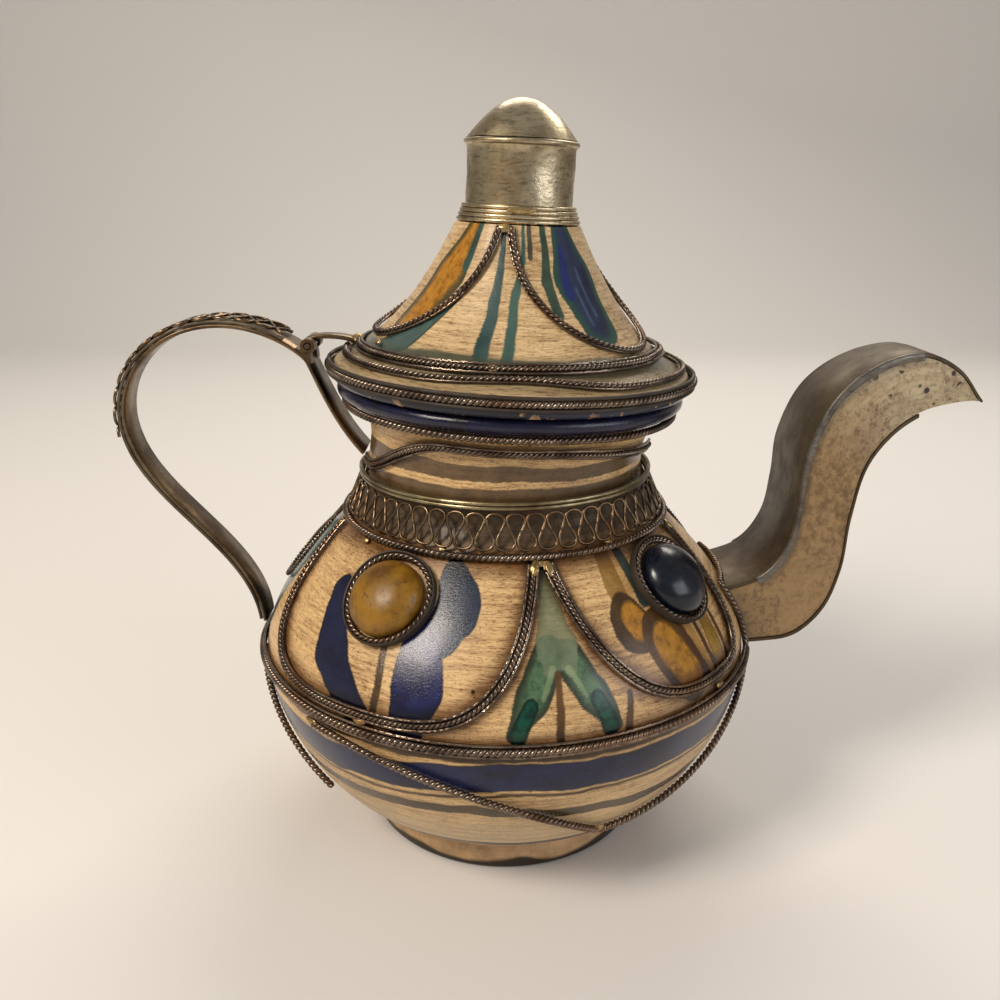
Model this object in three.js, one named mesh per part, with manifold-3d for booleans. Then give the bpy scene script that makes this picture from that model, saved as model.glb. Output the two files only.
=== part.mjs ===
import * as THREE from 'three';
import { mergeVertices } from 'three/addons/utils/BufferGeometryUtils.js';
import Module from 'manifold-3d';

// A glazed earthenware teapot dressed in metal filigree, with a boxed bone spout,
// a strap handle and a hinged, steep conical lid. Millimetres, +Z up. The origin is
// the centre of the foot's underside, +X points to the spout, -Y to the viewer.

const wasm = await Module();
wasm.setup();

// Fit of one piece on another, and the number of sides of every turned piece.
const SEAT = 0.3;
const SIDES = 32;
const FINIAL_SIDES = 20;

// Turned body, from the foot up: radii and the heights they stand at.
const FOOT_RADIUS = 42;
const FOOT_EDGE = 1.2;
const GROOVE_RADIUS = 40;
const GROOVE_HEIGHT = 9.8;
const BELLY_RADIUS = 72.2;
const BELLY_HEIGHT = 56;
const BELLY_FULLNESS = 1.63;
const SHOULDER_RADIUS = 45;
const SHOULDER_HEIGHT = 98.4;
const CORNER_RADIUS = 40;
const CORNER_HEIGHT = 105.5;
const CORNER_FULLNESS = 1.45;
const NECK_RADIUS = 39.4;
const NECK_HEIGHT = 118.5;
const FLARE_RADIUS = 46.4;
const FLARE_HEIGHT = 130;
const LIP_RADIUS = 49.2;
const LIP_THICKNESS = 4.6;
const MOUTH_RADIUS = 43;
const WALL = 5;
const FLOOR = 8;

// The potter's lean: mouth, lid and finial tip towards the spout.
const LEAN = THREE.MathUtils.degToRad(2.6);
const LEAN_PIVOT_HEIGHT = 100;

// Wire stock, as radii. A strand is a rope between two thin wires.
const ROPE = 1.05;
const THIN_WIRE = 0.5;
const STRAND_HALF = 1.65;
const STRAND_HEIGHT = 1.5;
const BELT_HALF = 1.9;
const BELT_HEIGHT = 2;
const COLLAR_SCROLL_WIRE = 0.42;
const HANDLE_SCROLL_WIRE = 0.5;

// Filigree on the body.
const EQUATOR_HEIGHT = 58.6;
const COLLAR_ROPE_HEIGHT = 97.4;
const COLLAR_SCROLL_WAVES = 47;
const COLLAR_RING_LOW = 109.3;
const COLLAR_RING_HIGH = 111.6;
const COLLAR_RING_INNER = 41.1;
const COLLAR_RING_WIDTH = 1.6;
const COLLAR_FLARE = 4;
const HOOP_HEIGHT = 125.1;
const HOOP_DROP_AT_HANDLE = 12.8;
const HOOP_DROP_AT_SPOUT = 4.9;
const PETAL_HALF_ANGLE = 42;
const PETAL_HALF_ANGLE_AT_SPOUT = 17.5;
const PETAL_CENTRE_BY_HANDLE = -33.5;
const PETAL_CENTRE_BY_SPOUT = 55;
const PETAL_LIFT_BY_SPOUT = 1.4;
const CABOCHON_RADIUS = 10.2;
const CABOCHON_EDGE = 1.4;
const CABOCHON_RISE = 6;
const CABOCHON_BELOW_ROPE = 0.6;
const AMBER_ANGLE = -32;
const NAVY_ANGLE = 51.5;
const BEZEL_WIDTH = 2.1;
const BEZEL_HEIGHT = 2.4;
const SWAG_FOOT_HEIGHT = 25;
const LEAF_HEIGHT = 84;
const LEAF_LENGTH = 17;
const LEAF_WIDTH = 15;

// Handle strap.
const STRAP_WIDTH = 14;
const STRAP_THICKNESS = 1.1;
const HANDLE_REACH = 109.3;
const HANDLE_REACH_HEIGHT = 125;
const HANDLE_TOP_HEIGHT = 151;
const HANDLE_TOP_REACH = 80;
const HANDLE_SCROLL_PITCH = 5.2;
const HANDLE_EDGE_WIRE = 0.7;

// Lid, finial and hinge. Heights are those of the upright lid, before the lean.
const LID_RADIUS = 50.4;
const LID_LIP = 5.2;
const CONE_FOOT_RADIUS = 41;
const CONE_FOOT_RISE = 11;
const CONE_TOP_RADIUS = 17.2;
const CONE_TOP_RISE = 43.4;
const LID_WALL = 4.5;
const LID_SKIRT_DEPTH = 3;
const LID_SKIRT_PLAY = 1.3;
const FINIAL_RADIUS = 14.7;
const FINIAL_HEIGHT = 16;
const FINIAL_COLLAR_HEIGHT = 4.6;
const FINIAL_SHEET = 0.8;
const DOME_RISE = 10.6;
const DOME_RADIUS = 13.6;
const DOME_FULLNESS = 1.7;
const FLANGE_ROPE = 0.85;
const FLANGE_ROPE_STANDOFF = 2;
const FLANGE_ROPE_STRAY_BY_SPOUT = 3.2;
const FLANGE_ROPE_STRAY_BY_HANDLE = 1.9;
const FLANGE_ROPE_NEAR_ANGLE = 3;
const LID_SWAG_HALF = 1.1;
const LID_SWAG_THICKNESS = 1.5;
const EDGE_ROPES_RISE = 2.4;
const EDGE_ROPES_HEIGHT = 3.8;
const HINGE_BEYOND_LID = 6.6;
const HINGE_OVER_ROPES = 2;
const PIN_RADIUS = 0.8;
const PIN_BORE = 1.1;
const KNUCKLE_RADIUS = 2.1;
const TONGUE_WIDTH = 5.6;

// Spout box: two bone plates between two bent metal strips.
const SPOUT_ROOT_HALF_WIDTH = 15;
const SPOUT_TIP_HALF_WIDTH = 5.6;
const BONE_THICKNESS = 2.2;
const STRIP_THICKNESS = 1.1;
const SPOUT_HOLE_RADIUS = 6;
const SPOUT_HOLE_HEIGHT = 68;
const TRIM_WIDTH = 2.3;
const TRIM_THICKNESS = 0.6;
const ROOT_WIRE = 0.9;

// Upper and lower edges of the spout's side from root to tip, as pairs of the distance
// out from the widest part of the belly and the height.
const SPOUT_UPPER_EDGE = [
  [-22.2, 74], [-6.2, 77.2], [3.3, 81.6], [9.1, 90.5], [11.1, 103], [12, 116.5],
  [18.3, 132], [29.8, 141.2], [43.3, 144.3], [55.3, 139.3], [63.6, 130],
];
const SPOUT_LOWER_EDGE = [
  [-16.2, 58.6], [2.8, 59.2], [13.6, 61.4], [21.4, 69.6], [25.4, 82], [26.7, 98],
  [30, 112.5], [36.6, 121], [45.3, 126.3], [55.3, 128.4], [62.8, 128.8],
];
const MOUTH_START = 0.79;

const COLOURS = {
  glaze: [0xc9a878, 0.35, 0], rope: [0x5b5046, 0.45, 0.85], silver: [0x9a9384, 0.4, 0.9],
  bone: [0xcbb68c, 0.5, 0], amber: [0xa8741c, 0.3, 0], navy: [0x151c2c, 0.15, 0],
  strap: [0x7c7264, 0.42, 0.9], strip: [0x6f6448, 0.4, 0.6],
};

const up = new THREE.Vector3(0, 0, 1);
const radians = THREE.MathUtils.degToRad;

const teapot = new THREE.Group();
// Everything from the mouth up leans as one about this pivot.
const leaning = new THREE.Group();
leaning.rotation.y = LEAN;
leaning.position.set(-LEAN_PIVOT_HEIGHT * Math.sin(LEAN), 0, LEAN_PIVOT_HEIGHT * (1 - Math.cos(LEAN)));
teapot.add(leaning);

function addPiece(name, geometry, colour, parent = teapot) {
  const [color, roughness, metalness] = COLOURS[colour];
  const mesh = new THREE.Mesh(geometry, new THREE.MeshStandardMaterial({ color, roughness, metalness }));
  mesh.name = name;
  parent.add(mesh);
  return mesh;
}

// Closed meshes

function meshFrom(vertices, triangles) {
  const geometry = new THREE.BufferGeometry();
  geometry.setAttribute('position', new THREE.Float32BufferAttribute(vertices.flat(), 3));
  geometry.setIndex(triangles.flat());
  return facingOut(geometry);
}

// Turns a closed mesh right side out when its enclosed volume comes out negative.
function facingOut(geometry) {
  const at = geometry.getAttribute('position');
  const order = geometry.getIndex().array;
  const [a, b, c] = [new THREE.Vector3(), new THREE.Vector3(), new THREE.Vector3()];
  let volume = 0;
  for (let i = 0; i < order.length; i += 3) {
    a.fromBufferAttribute(at, order[i]);
    b.fromBufferAttribute(at, order[i + 1]);
    c.fromBufferAttribute(at, order[i + 2]);
    volume += a.dot(b.cross(c));
  }
  if (volume < 0) {
    for (let i = 0; i < order.length; i += 3) [order[i], order[i + 1]] = [order[i + 1], order[i]];
  }
  return geometry;
}

// Joins rings of equal point counts into a skin, closed by flat ends or end to end.
function loft(rings, endless = false) {
  const count = rings[0].length;
  const vertices = rings.flat().map((p) => [p.x, p.y, p.z]);
  const triangles = [];
  const last = endless ? rings.length : rings.length - 1;
  for (let i = 0; i < last; i += 1) {
    const here = i * count;
    const next = ((i + 1) % rings.length) * count;
    for (let j = 0; j < count; j += 1) {
      const k = (j + 1) % count;
      triangles.push([here + j, here + k, next + k], [here + j, next + k, next + j]);
    }
  }
  if (!endless) {
    const end = (rings.length - 1) * count;
    for (let j = 1; j < count - 1; j += 1) {
      triangles.push([0, j + 1, j], [end, end + j, end + j + 1]);
    }
  }
  return meshFrom(vertices, triangles);
}

// Turns a closed outline of [radius, height] points about +Z.
function turn(outline, sides = SIDES) {
  const points = [...outline, outline[0]].map(([r, z]) => new THREE.Vector2(Math.max(r, 0), z));
  const geometry = new THREE.LatheGeometry(points, sides);
  geometry.deleteAttribute('uv');
  geometry.deleteAttribute('normal');
  geometry.rotateX(Math.PI / 2);
  return facingOut(withoutSlivers(mergeVertices(geometry, 1e-4)));
}

// Drops the triangles that a lathe leaves flat on its axis.
function withoutSlivers(geometry) {
  const order = geometry.getIndex().array;
  const kept = [];
  for (let i = 0; i < order.length; i += 3) {
    const [a, b, c] = [order[i], order[i + 1], order[i + 2]];
    if (a !== b && b !== c && c !== a) kept.push(a, b, c);
  }
  geometry.setIndex(kept);
  return geometry;
}

function circle(radius, count, turned = 0) {
  const points = [];
  for (let i = 0; i < count; i += 1) {
    const angle = turned + (i / count) * 2 * Math.PI;
    points.push([radius * Math.cos(angle), radius * Math.sin(angle)]);
  }
  return points;
}

function ringOutline(radius, height, wire, count = 4) {
  return circle(wire, count, Math.PI / 2).map(([r, z]) => [radius + r, height + z]);
}

function solid(geometry) {
  const merged = mergeVertices(geometry, 1e-4);
  return new wasm.Manifold(new wasm.Mesh({
    numProp: 3,
    vertProperties: new Float32Array(merged.getAttribute('position').array),
    triVerts: new Uint32Array(merged.getIndex().array),
  }));
}

function geometryOf(body) {
  const mesh = body.getMesh();
  const geometry = new THREE.BufferGeometry();
  geometry.setAttribute('position', new THREE.BufferAttribute(new Float32Array(mesh.vertProperties), 3));
  geometry.setIndex(new THREE.BufferAttribute(new Uint32Array(mesh.triVerts), 1));
  return geometry;
}

// Smooth step from 0 to 1 between two values.
function ease(value, low, high) {
  return THREE.MathUtils.smoothstep(value, low, high);
}

// Body outline as a radius for each height, and the places that pieces take on it

function bodyRadius(z) {
  if (z < GROOVE_HEIGHT) return FOOT_RADIUS;
  if (z < BELLY_HEIGHT) {
    const drop = (BELLY_HEIGHT - z) / (BELLY_HEIGHT - GROOVE_HEIGHT);
    const swell = (1 - drop ** BELLY_FULLNESS) ** (1 / BELLY_FULLNESS);
    return GROOVE_RADIUS + (BELLY_RADIUS - GROOVE_RADIUS) * swell;
  }
  if (z < SHOULDER_HEIGHT) {
    const rise = (z - BELLY_HEIGHT) / (SHOULDER_HEIGHT - BELLY_HEIGHT);
    return SHOULDER_RADIUS + (BELLY_RADIUS - SHOULDER_RADIUS) * Math.cos((rise * Math.PI) / 2);
  }
  if (z < CORNER_HEIGHT) {
    const below = (CORNER_HEIGHT - z) / (CORNER_HEIGHT - SHOULDER_HEIGHT);
    return CORNER_RADIUS + (SHOULDER_RADIUS - CORNER_RADIUS) * below ** CORNER_FULLNESS;
  }
  if (z < NECK_HEIGHT) {
    return THREE.MathUtils.mapLinear(z, CORNER_HEIGHT, NECK_HEIGHT, CORNER_RADIUS, NECK_RADIUS);
  }
  const flare = (z - NECK_HEIGHT) / (FLARE_HEIGHT - NECK_HEIGHT);
  return NECK_RADIUS + (FLARE_RADIUS - NECK_RADIUS) * flare ** 2.4;
}

const LIP_TOP = FLARE_HEIGHT + LIP_THICKNESS;
const LID_SEAT = LIP_TOP + SEAT;

// Place at an angle from the viewer (degrees towards the spout) and a height on a turned
// surface, lifted off it, with the directions out of it and up along it.
function placeOn(radiusAt, angle, height, lift = 0) {
  const slope = (radiusAt(height + 0.05) - radiusAt(height - 0.05)) / 0.1;
  const turned = radians(angle);
  const outward = new THREE.Vector3(Math.sin(turned), -Math.cos(turned), 0);
  const normal = outward.clone().addScaledVector(up, -slope).normalize();
  const climb = up.clone().addScaledVector(outward, slope).normalize();
  const point = outward.clone().multiplyScalar(radiusAt(height)).setZ(height).addScaledVector(normal, lift);
  return { point, normal, climb };
}

// Lays a section along places on a surface. Section points are [across, away from surface].
function layAlong(places, section, endless = false) {
  const rings = places.map(({ point, normal }, i) => {
    const before = places[endless ? (i - 1 + places.length) % places.length : Math.max(i - 1, 0)].point;
    const after = places[endless ? (i + 1) % places.length : Math.min(i + 1, places.length - 1)].point;
    const along = after.clone().sub(before).normalize();
    const across = new THREE.Vector3().crossVectors(along, normal).normalize();
    const away = new THREE.Vector3().crossVectors(across, along).normalize();
    return section.map(([u, v]) => point.clone().addScaledVector(across, u).addScaledVector(away, v));
  });
  return loft(rings, endless);
}

// Rope between two thin wires, flat underneath.
function strandSection(half, height) {
  const crown = half * 0.5;
  const edge = 2 * THIN_WIRE;
  return [[-half, 0], [half, 0], [half, edge], [crown, height], [-crown, height], [-half, edge]];
}

// Height reached by going down the body's curved outline by a distance.
function downTheBody(height, distance) {
  const steps = 20;
  let reached = height;
  for (let i = 0; i < steps; i += 1) reached -= (placeOn(bodyRadius, 0, reached).climb.z * distance) / steps;
  return reached;
}

// The angle on the back of the pot that answers an angle on its front.
function behind(angle) {
  return 180 - angle;
}

const strand = strandSection(STRAND_HALF, STRAND_HEIGHT);
const belt = strandSection(BELT_HALF, BELT_HEIGHT);
const rope = circle(ROPE, 5, -Math.PI / 2);

function range(count, make) {
  return Array.from({ length: count }, (_, i) => make(i));
}

// Pot body: turned outside and inside, bent at the neck, pierced for the spout

function bodyOutside() {
  const rows = [];
  const lower = 7;
  for (let i = 1; i < lower; i += 1) {
    const angle = ((i + 1) / lower) * (Math.PI / 2);
    const height = BELLY_HEIGHT - (BELLY_HEIGHT - GROOVE_HEIGHT) * Math.cos(angle) ** (2 / BELLY_FULLNESS);
    rows.push([bodyRadius(height), height]);
  }
  const upper = 5;
  for (let i = 1; i <= upper; i += 1) {
    const height = THREE.MathUtils.lerp(BELLY_HEIGHT, SHOULDER_HEIGHT, i / upper);
    rows.push([bodyRadius(height), height]);
  }
  for (const part of [0.4, 1]) {
    const height = THREE.MathUtils.lerp(SHOULDER_HEIGHT, CORNER_HEIGHT, part);
    rows.push([bodyRadius(height), height]);
  }
  rows.push([NECK_RADIUS, NECK_HEIGHT]);
  for (const part of [0.5, 0.8, 1]) {
    const height = THREE.MathUtils.lerp(NECK_HEIGHT, FLARE_HEIGHT, part);
    rows.push([bodyRadius(height), height]);
  }
  return rows;
}

function bodyOutline() {
  const lipMiddle = FLARE_HEIGHT + LIP_THICKNESS * 0.55;
  const inside = [
    [MOUTH_RADIUS - 0.4, FLARE_HEIGHT + 1],
    [NECK_RADIUS - WALL, NECK_HEIGHT + 1],
    [CORNER_RADIUS - WALL, CORNER_HEIGHT],
    [SHOULDER_RADIUS - WALL * 1.15, SHOULDER_HEIGHT - WALL * 0.4],
  ];
  for (const part of [0.55, 0]) {
    const height = THREE.MathUtils.lerp(BELLY_HEIGHT, SHOULDER_HEIGHT, part);
    inside.push([bodyRadius(height) - WALL * 1.3, height]);
  }
  for (const part of [0.45, 0.8]) {
    const height = THREE.MathUtils.lerp(BELLY_HEIGHT, GROOVE_HEIGHT, part);
    inside.push([bodyRadius(height) - WALL * 1.4, height + WALL * part * 0.5]);
  }
  inside.push([FOOT_RADIUS * 0.6, FLOOR + 1], [0, FLOOR]);
  return [
    [0, 0], [FOOT_RADIUS - FOOT_EDGE, 0], [FOOT_RADIUS, FOOT_EDGE],
    [FOOT_RADIUS - 0.6, GROOVE_HEIGHT - 1.6], [GROOVE_RADIUS, GROOVE_HEIGHT],
    ...bodyOutside(),
    [LIP_RADIUS - 0.5, FLARE_HEIGHT + 0.9], [LIP_RADIUS, lipMiddle],
    [LIP_RADIUS - 1.4, LIP_TOP], [MOUTH_RADIUS, LIP_TOP],
    ...inside,
  ];
}

// Bends everything above the collar to the lean, which is full just over the neck.
function leanMouth(geometry) {
  const at = geometry.getAttribute('position');
  const point = new THREE.Vector3();
  for (let i = 0; i < at.count; i += 1) {
    point.fromBufferAttribute(at, i);
    const angle = LEAN * ease(point.z, COLLAR_RING_HIGH, NECK_HEIGHT + 4);
    point.z -= LEAN_PIVOT_HEIGHT;
    point.applyAxisAngle(new THREE.Vector3(0, 1, 0), angle);
    point.z += LEAN_PIVOT_HEIGHT;
    at.setXYZ(i, point.x, point.y, point.z);
  }
  return geometry;
}

function spoutHole() {
  const drill = new THREE.CylinderGeometry(SPOUT_HOLE_RADIUS, SPOUT_HOLE_RADIUS, BELLY_RADIUS / 2, 16);
  drill.deleteAttribute('uv');
  drill.deleteAttribute('normal');
  drill.rotateZ(Math.PI / 2);
  drill.translate(BELLY_RADIUS, 0, SPOUT_HOLE_HEIGHT);
  return solid(drill);
}

const bodySolid = solid(leanMouth(turn(bodyOutline())));
addPiece('pot_body', geometryOf(bodySolid.subtract(spoutHole())), 'glaze');

// The body's outside, grown by the seat gap: what sits on the body is cut back to this.
function bodyClearance() {
  const grown = bodyOutside().filter(([, z]) => z <= SHOULDER_HEIGHT).map(([r, z]) => [r + SEAT * 1.15, z]);
  return solid(turn([[0, grown[0][1]], ...grown, [0, SHOULDER_HEIGHT]]));
}
const clearOfBody = bodyClearance();

function cutToBody(geometry) {
  return geometryOf(solid(geometry).subtract(clearOfBody));
}

// Rim and neck

const rimRopeHeight = FLARE_HEIGHT - 0.8;
const rimRopeRadius = bodyRadius(rimRopeHeight) + ROPE + SEAT + 0.2;
addPiece('rim_rope', turn(ringOutline(rimRopeRadius, rimRopeHeight - ROPE * 0.3, ROPE, 5)), 'rope', leaning);

// Loose strand across the front of the neck, from the handle strap up and over to its free end.
const hoopStart = -90 + THREE.MathUtils.radToDeg((STRAP_WIDTH / 2 + 2 * SEAT) / NECK_RADIUS);
const hoopEnd = 77;
addPiece('neck_rope', layAlong(range(21, (i) => {
  const angle = THREE.MathUtils.lerp(hoopStart, hoopEnd, i / 20);
  const drop = HOOP_DROP_AT_HANDLE * ease(-angle, 22, 72) + HOOP_DROP_AT_SPOUT * ease(angle, 14, 90) ** 0.8;
  return placeOn(bodyRadius, angle, HOOP_HEIGHT - drop, SEAT + 0.5);
}), strand), 'rope', leaning);

// Collar: an open lattice that stands off the corner under the neck, made of a ring of
// double wire above, a rope below and the scroll between them

const ringMiddle = COLLAR_RING_INNER + COLLAR_RING_WIDTH / 2;
addPiece('collar_top_wires', turn([
  [COLLAR_RING_INNER, COLLAR_RING_LOW], [COLLAR_RING_INNER + COLLAR_RING_WIDTH, COLLAR_RING_LOW],
  [ringMiddle + 0.4, (COLLAR_RING_LOW + COLLAR_RING_HIGH) / 2],
  [COLLAR_RING_INNER + COLLAR_RING_WIDTH * 0.9, COLLAR_RING_HIGH], [COLLAR_RING_INNER, COLLAR_RING_HIGH],
]), 'silver');

const collarRope = placeOn(bodyRadius, 0, COLLAR_ROPE_HEIGHT, ROPE + SEAT).point;
addPiece('collar_bottom_rope', turn(ringOutline(-collarRope.y, collarRope.z, ROPE)), 'rope');

const scrollLow = collarRope.z + ROPE + COLLAR_SCROLL_WIRE + SEAT * 0.5;
const scrollHigh = COLLAR_RING_LOW - COLLAR_SCROLL_WIRE - SEAT;
function latticeRadius(z) {
  return ringMiddle + (COLLAR_FLARE * (COLLAR_RING_LOW - z)) / (COLLAR_RING_LOW - scrollLow);
}

// Omega waves: the wire swings up and down and swells into a loop at each turn.
function omega(phase, pitch, swing) {
  return [(phase / (2 * Math.PI)) * pitch + 0.25 * pitch * Math.sin(2 * phase), swing * Math.cos(phase)];
}

const SCROLL_STEPS = 8;
const scrollSection = (wire) => circle(wire, 3, -Math.PI / 2 + Math.PI / 3);
addPiece('collar_scroll', layAlong(range(COLLAR_SCROLL_WAVES * SCROLL_STEPS, (i) => {
  const pitch = 360 / COLLAR_SCROLL_WAVES;
  const [angle, rise] = omega((i / SCROLL_STEPS) * 2 * Math.PI, pitch, (scrollHigh - scrollLow) / 2);
  return placeOn(latticeRadius, angle, (scrollHigh + scrollLow) / 2 + rise);
}), scrollSection(COLLAR_SCROLL_WIRE), true), 'silver');

// Belly: belt at the equator, petal festoons above it, swags and ties below it

const rootSpan = Math.asin((SPOUT_ROOT_HALF_WIDTH + 2 * ROOT_WIRE + 3 * SEAT) / BELLY_RADIUS);
const rootAngle = THREE.MathUtils.radToDeg(rootSpan);
addPiece('equator_rope', layAlong(range(33, (i) => {
  const angle = 90 + rootAngle + (i / 32) * (360 - 2 * rootAngle);
  return placeOn(bodyRadius, angle, EQUATOR_HEIGHT, SEAT + 0.12);
}), belt), 'rope');

const PETAL_BOTTOM = EQUATOR_HEIGHT + BELT_HALF + STRAND_HALF + SEAT + 0.1;
const PETAL_TOP = COLLAR_ROPE_HEIGHT - ROPE - SEAT;

// U-shaped festoon hung from the collar between two peaks.
function petal(centre, halfLeft, halfRight, fullness, lifted = 0) {
  const steps = 18;
  return layAlong(range(steps + 1, (i) => {
    const t = (i / steps) * 2 - 1;
    const spread = Math.sign(t) * Math.abs(t) ** 0.62;
    const half = t < 0 ? halfLeft : halfRight;
    const height = THREE.MathUtils.lerp(PETAL_BOTTOM + lifted, PETAL_TOP, Math.abs(spread) ** fullness);
    return placeOn(bodyRadius, centre + spread * half, height, SEAT);
  }), strand);
}

const wide = PETAL_HALF_ANGLE;
const narrow = PETAL_HALF_ANGLE_AT_SPOUT;
const byHandle = PETAL_CENTRE_BY_HANDLE;
const bySpout = PETAL_CENTRE_BY_SPOUT;
addPiece('petal_festoon_front_left', petal(byHandle, wide, wide, 4.4), 'rope');
addPiece('petal_festoon_front_right', petal(bySpout, wide, narrow, 3.4, PETAL_LIFT_BY_SPOUT), 'rope');
addPiece('petal_festoon_back_right', petal(behind(bySpout), narrow, wide, 3.4, PETAL_LIFT_BY_SPOUT), 'rope');
addPiece('petal_festoon_back_left', petal(behind(byHandle), wide, wide, 4.4), 'rope');

// Rope that leaves the underside of the belt and runs down to the foot of a swag.
function descent(fromAngle, toAngle, fromHeight, toHeight, bend, steps) {
  return layAlong(range(steps + 1, (i) => {
    const part = i / steps;
    const angle = THREE.MathUtils.lerp(fromAngle, toAngle, part);
    return placeOn(bodyRadius, angle, fromHeight - (fromHeight - toHeight) * part ** bend, ROPE + SEAT);
  }), rope);
}

// The same rope seen from its foot, so that it steepens towards the belt.
function tie(footAngle, topAngle, footHeight, topHeight, bend, steps) {
  return layAlong(range(steps + 1, (i) => {
    const part = i / steps;
    const angle = THREE.MathUtils.lerp(footAngle, topAngle, part);
    return placeOn(bodyRadius, angle, footHeight + (topHeight - footHeight) * part ** bend, ROPE + SEAT);
  }), rope);
}

const SWAG_TOP = EQUATOR_HEIGHT - BELT_HALF - ROPE - SEAT - 0.25;
const HANDLE_TIE_FOOT = SWAG_FOOT_HEIGHT - 2;
for (const [side, mirror] of [['front', (a) => a], ['back', behind]]) {
  addPiece(`swag_rope_${side}`,
    descent(mirror(-43), mirror(22.5), SWAG_TOP, SWAG_FOOT_HEIGHT + 1, 1.8, 12), 'rope');
  addPiece(`spout_tie_${side}`,
    tie(mirror(27), mirror(80), SWAG_FOOT_HEIGHT - 1, SWAG_TOP - 1.2, 1.9, 12), 'rope');
  addPiece(`handle_tie_${side}`,
    tie(mirror(-40), mirror(-83), HANDLE_TIE_FOOT, SWAG_TOP - 0.4, 1.05, 10), 'rope');
}

// Cabochons on the shoulder, each within a bezel that follows the curve of the body

const bezelReach = CABOCHON_RADIUS + SEAT + BEZEL_WIDTH + 0.3;
const cabochonHeight = downTheBody(COLLAR_ROPE_HEIGHT, ROPE + CABOCHON_BELOW_ROPE + bezelReach);

function cabochon(angle) {
  const rows = range(4, (i) => {
    const turned = (i / 4) * (Math.PI / 2);
    return [CABOCHON_RADIUS * Math.cos(turned), CABOCHON_EDGE + CABOCHON_RISE * Math.sin(turned)];
  });
  const geometry = turn([
    [0, 0], [CABOCHON_RADIUS, 0], ...rows, [0, CABOCHON_EDGE + CABOCHON_RISE],
  ], 16);
  const { point, normal } = placeOn(bodyRadius, angle, cabochonHeight, SEAT);
  geometry.applyQuaternion(new THREE.Quaternion().setFromUnitVectors(up, normal));
  geometry.translate(point.x, point.y, point.z);
  return geometry;
}

// A strip on edge with a rope against its inner side, as [across, away] from its middle.
const bezelSection = [
  [-BEZEL_WIDTH / 2, 0], [BEZEL_WIDTH / 2, 0], [BEZEL_WIDTH / 2, BEZEL_HEIGHT],
  [0, BEZEL_HEIGHT + 0.2], [-BEZEL_WIDTH / 2, BEZEL_HEIGHT * 0.7],
];

function bezel(angle) {
  const { normal, climb } = placeOn(bodyRadius, angle, cabochonHeight);
  const middle = bezelReach - BEZEL_WIDTH / 2;
  const tall = climb.z * middle;
  return layAlong(range(16, (i) => {
    const turned = ((i + 0.5) / 16) * 2 * Math.PI;
    const height = cabochonHeight + tall * Math.cos(turned) - (1 - normal.z) * 0.2 * Math.cos(turned) ** 2;
    const aside = THREE.MathUtils.radToDeg(Math.asin((middle * Math.sin(turned)) / bodyRadius(height)));
    return placeOn(bodyRadius, angle + aside, height, SEAT);
  }), bezelSection, true);
}

const stones = [
  ['amber', 'front', AMBER_ANGLE], ['navy', 'front', NAVY_ANGLE],
  ['navy', 'back', behind(NAVY_ANGLE)], ['amber', 'back', behind(AMBER_ANGLE)],
];
for (const [stone, side, angle] of stones) {
  addPiece(`cabochon_${stone}_${side}`, cabochon(angle), stone);
  addPiece(`bezel_${stone}_${side}`, bezel(angle), 'rope');
}

// Handle: one strap from the belly, round the arch, past the lid and down to the neck

const flat = (x, z) => new THREE.Vector3(x, 0, z);

// Where a point of the upright lid comes to stand once the lid leans.
function leant(x, z) {
  const point = flat(x, z - LEAN_PIVOT_HEIGHT).applyAxisAngle(new THREE.Vector3(0, 1, 0), LEAN);
  return point.setZ(point.z + LEAN_PIVOT_HEIGHT);
}
const edgeLow = LID_SEAT + EDGE_ROPES_RISE;
const hingePoint = leant(-(LID_RADIUS + HINGE_BEYOND_LID), edgeLow + EDGE_ROPES_HEIGHT + HINGE_OVER_ROPES);
const strapLift = STRAP_THICKNESS / 2 + SEAT;
const strapFootHeight = EQUATOR_HEIGHT + BELT_HALF + SEAT + 0.5;
const strapFoot = flat(-(BELLY_RADIUS + strapLift + 0.35), strapFootHeight);
const strapReach = flat(-HANDLE_REACH, HANDLE_REACH_HEIGHT);
const strapTop = flat(-HANDLE_TOP_REACH, HANDLE_TOP_HEIGHT);
const strapHinge = flat(hingePoint.x - 0.4, hingePoint.z - KNUCKLE_RADIUS - STRAP_THICKNESS - 0.8);
const strapNeckHeight = COLLAR_RING_HIGH + SEAT + 3;
const strapNeck = flat(-(bodyRadius(strapNeckHeight) + strapLift + 0.2), strapNeckHeight);
const archWidth = HANDLE_REACH - HANDLE_TOP_REACH;
const archHeight = HANDLE_TOP_HEIGHT - HANDLE_REACH_HEIGHT;
const footHeight = HANDLE_REACH_HEIGHT - strapFoot.z;
const passWidth = HANDLE_TOP_REACH + strapHinge.x;
const dropHeight = strapHinge.z - strapNeck.z;
const QUARTER = 0.5523;

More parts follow.
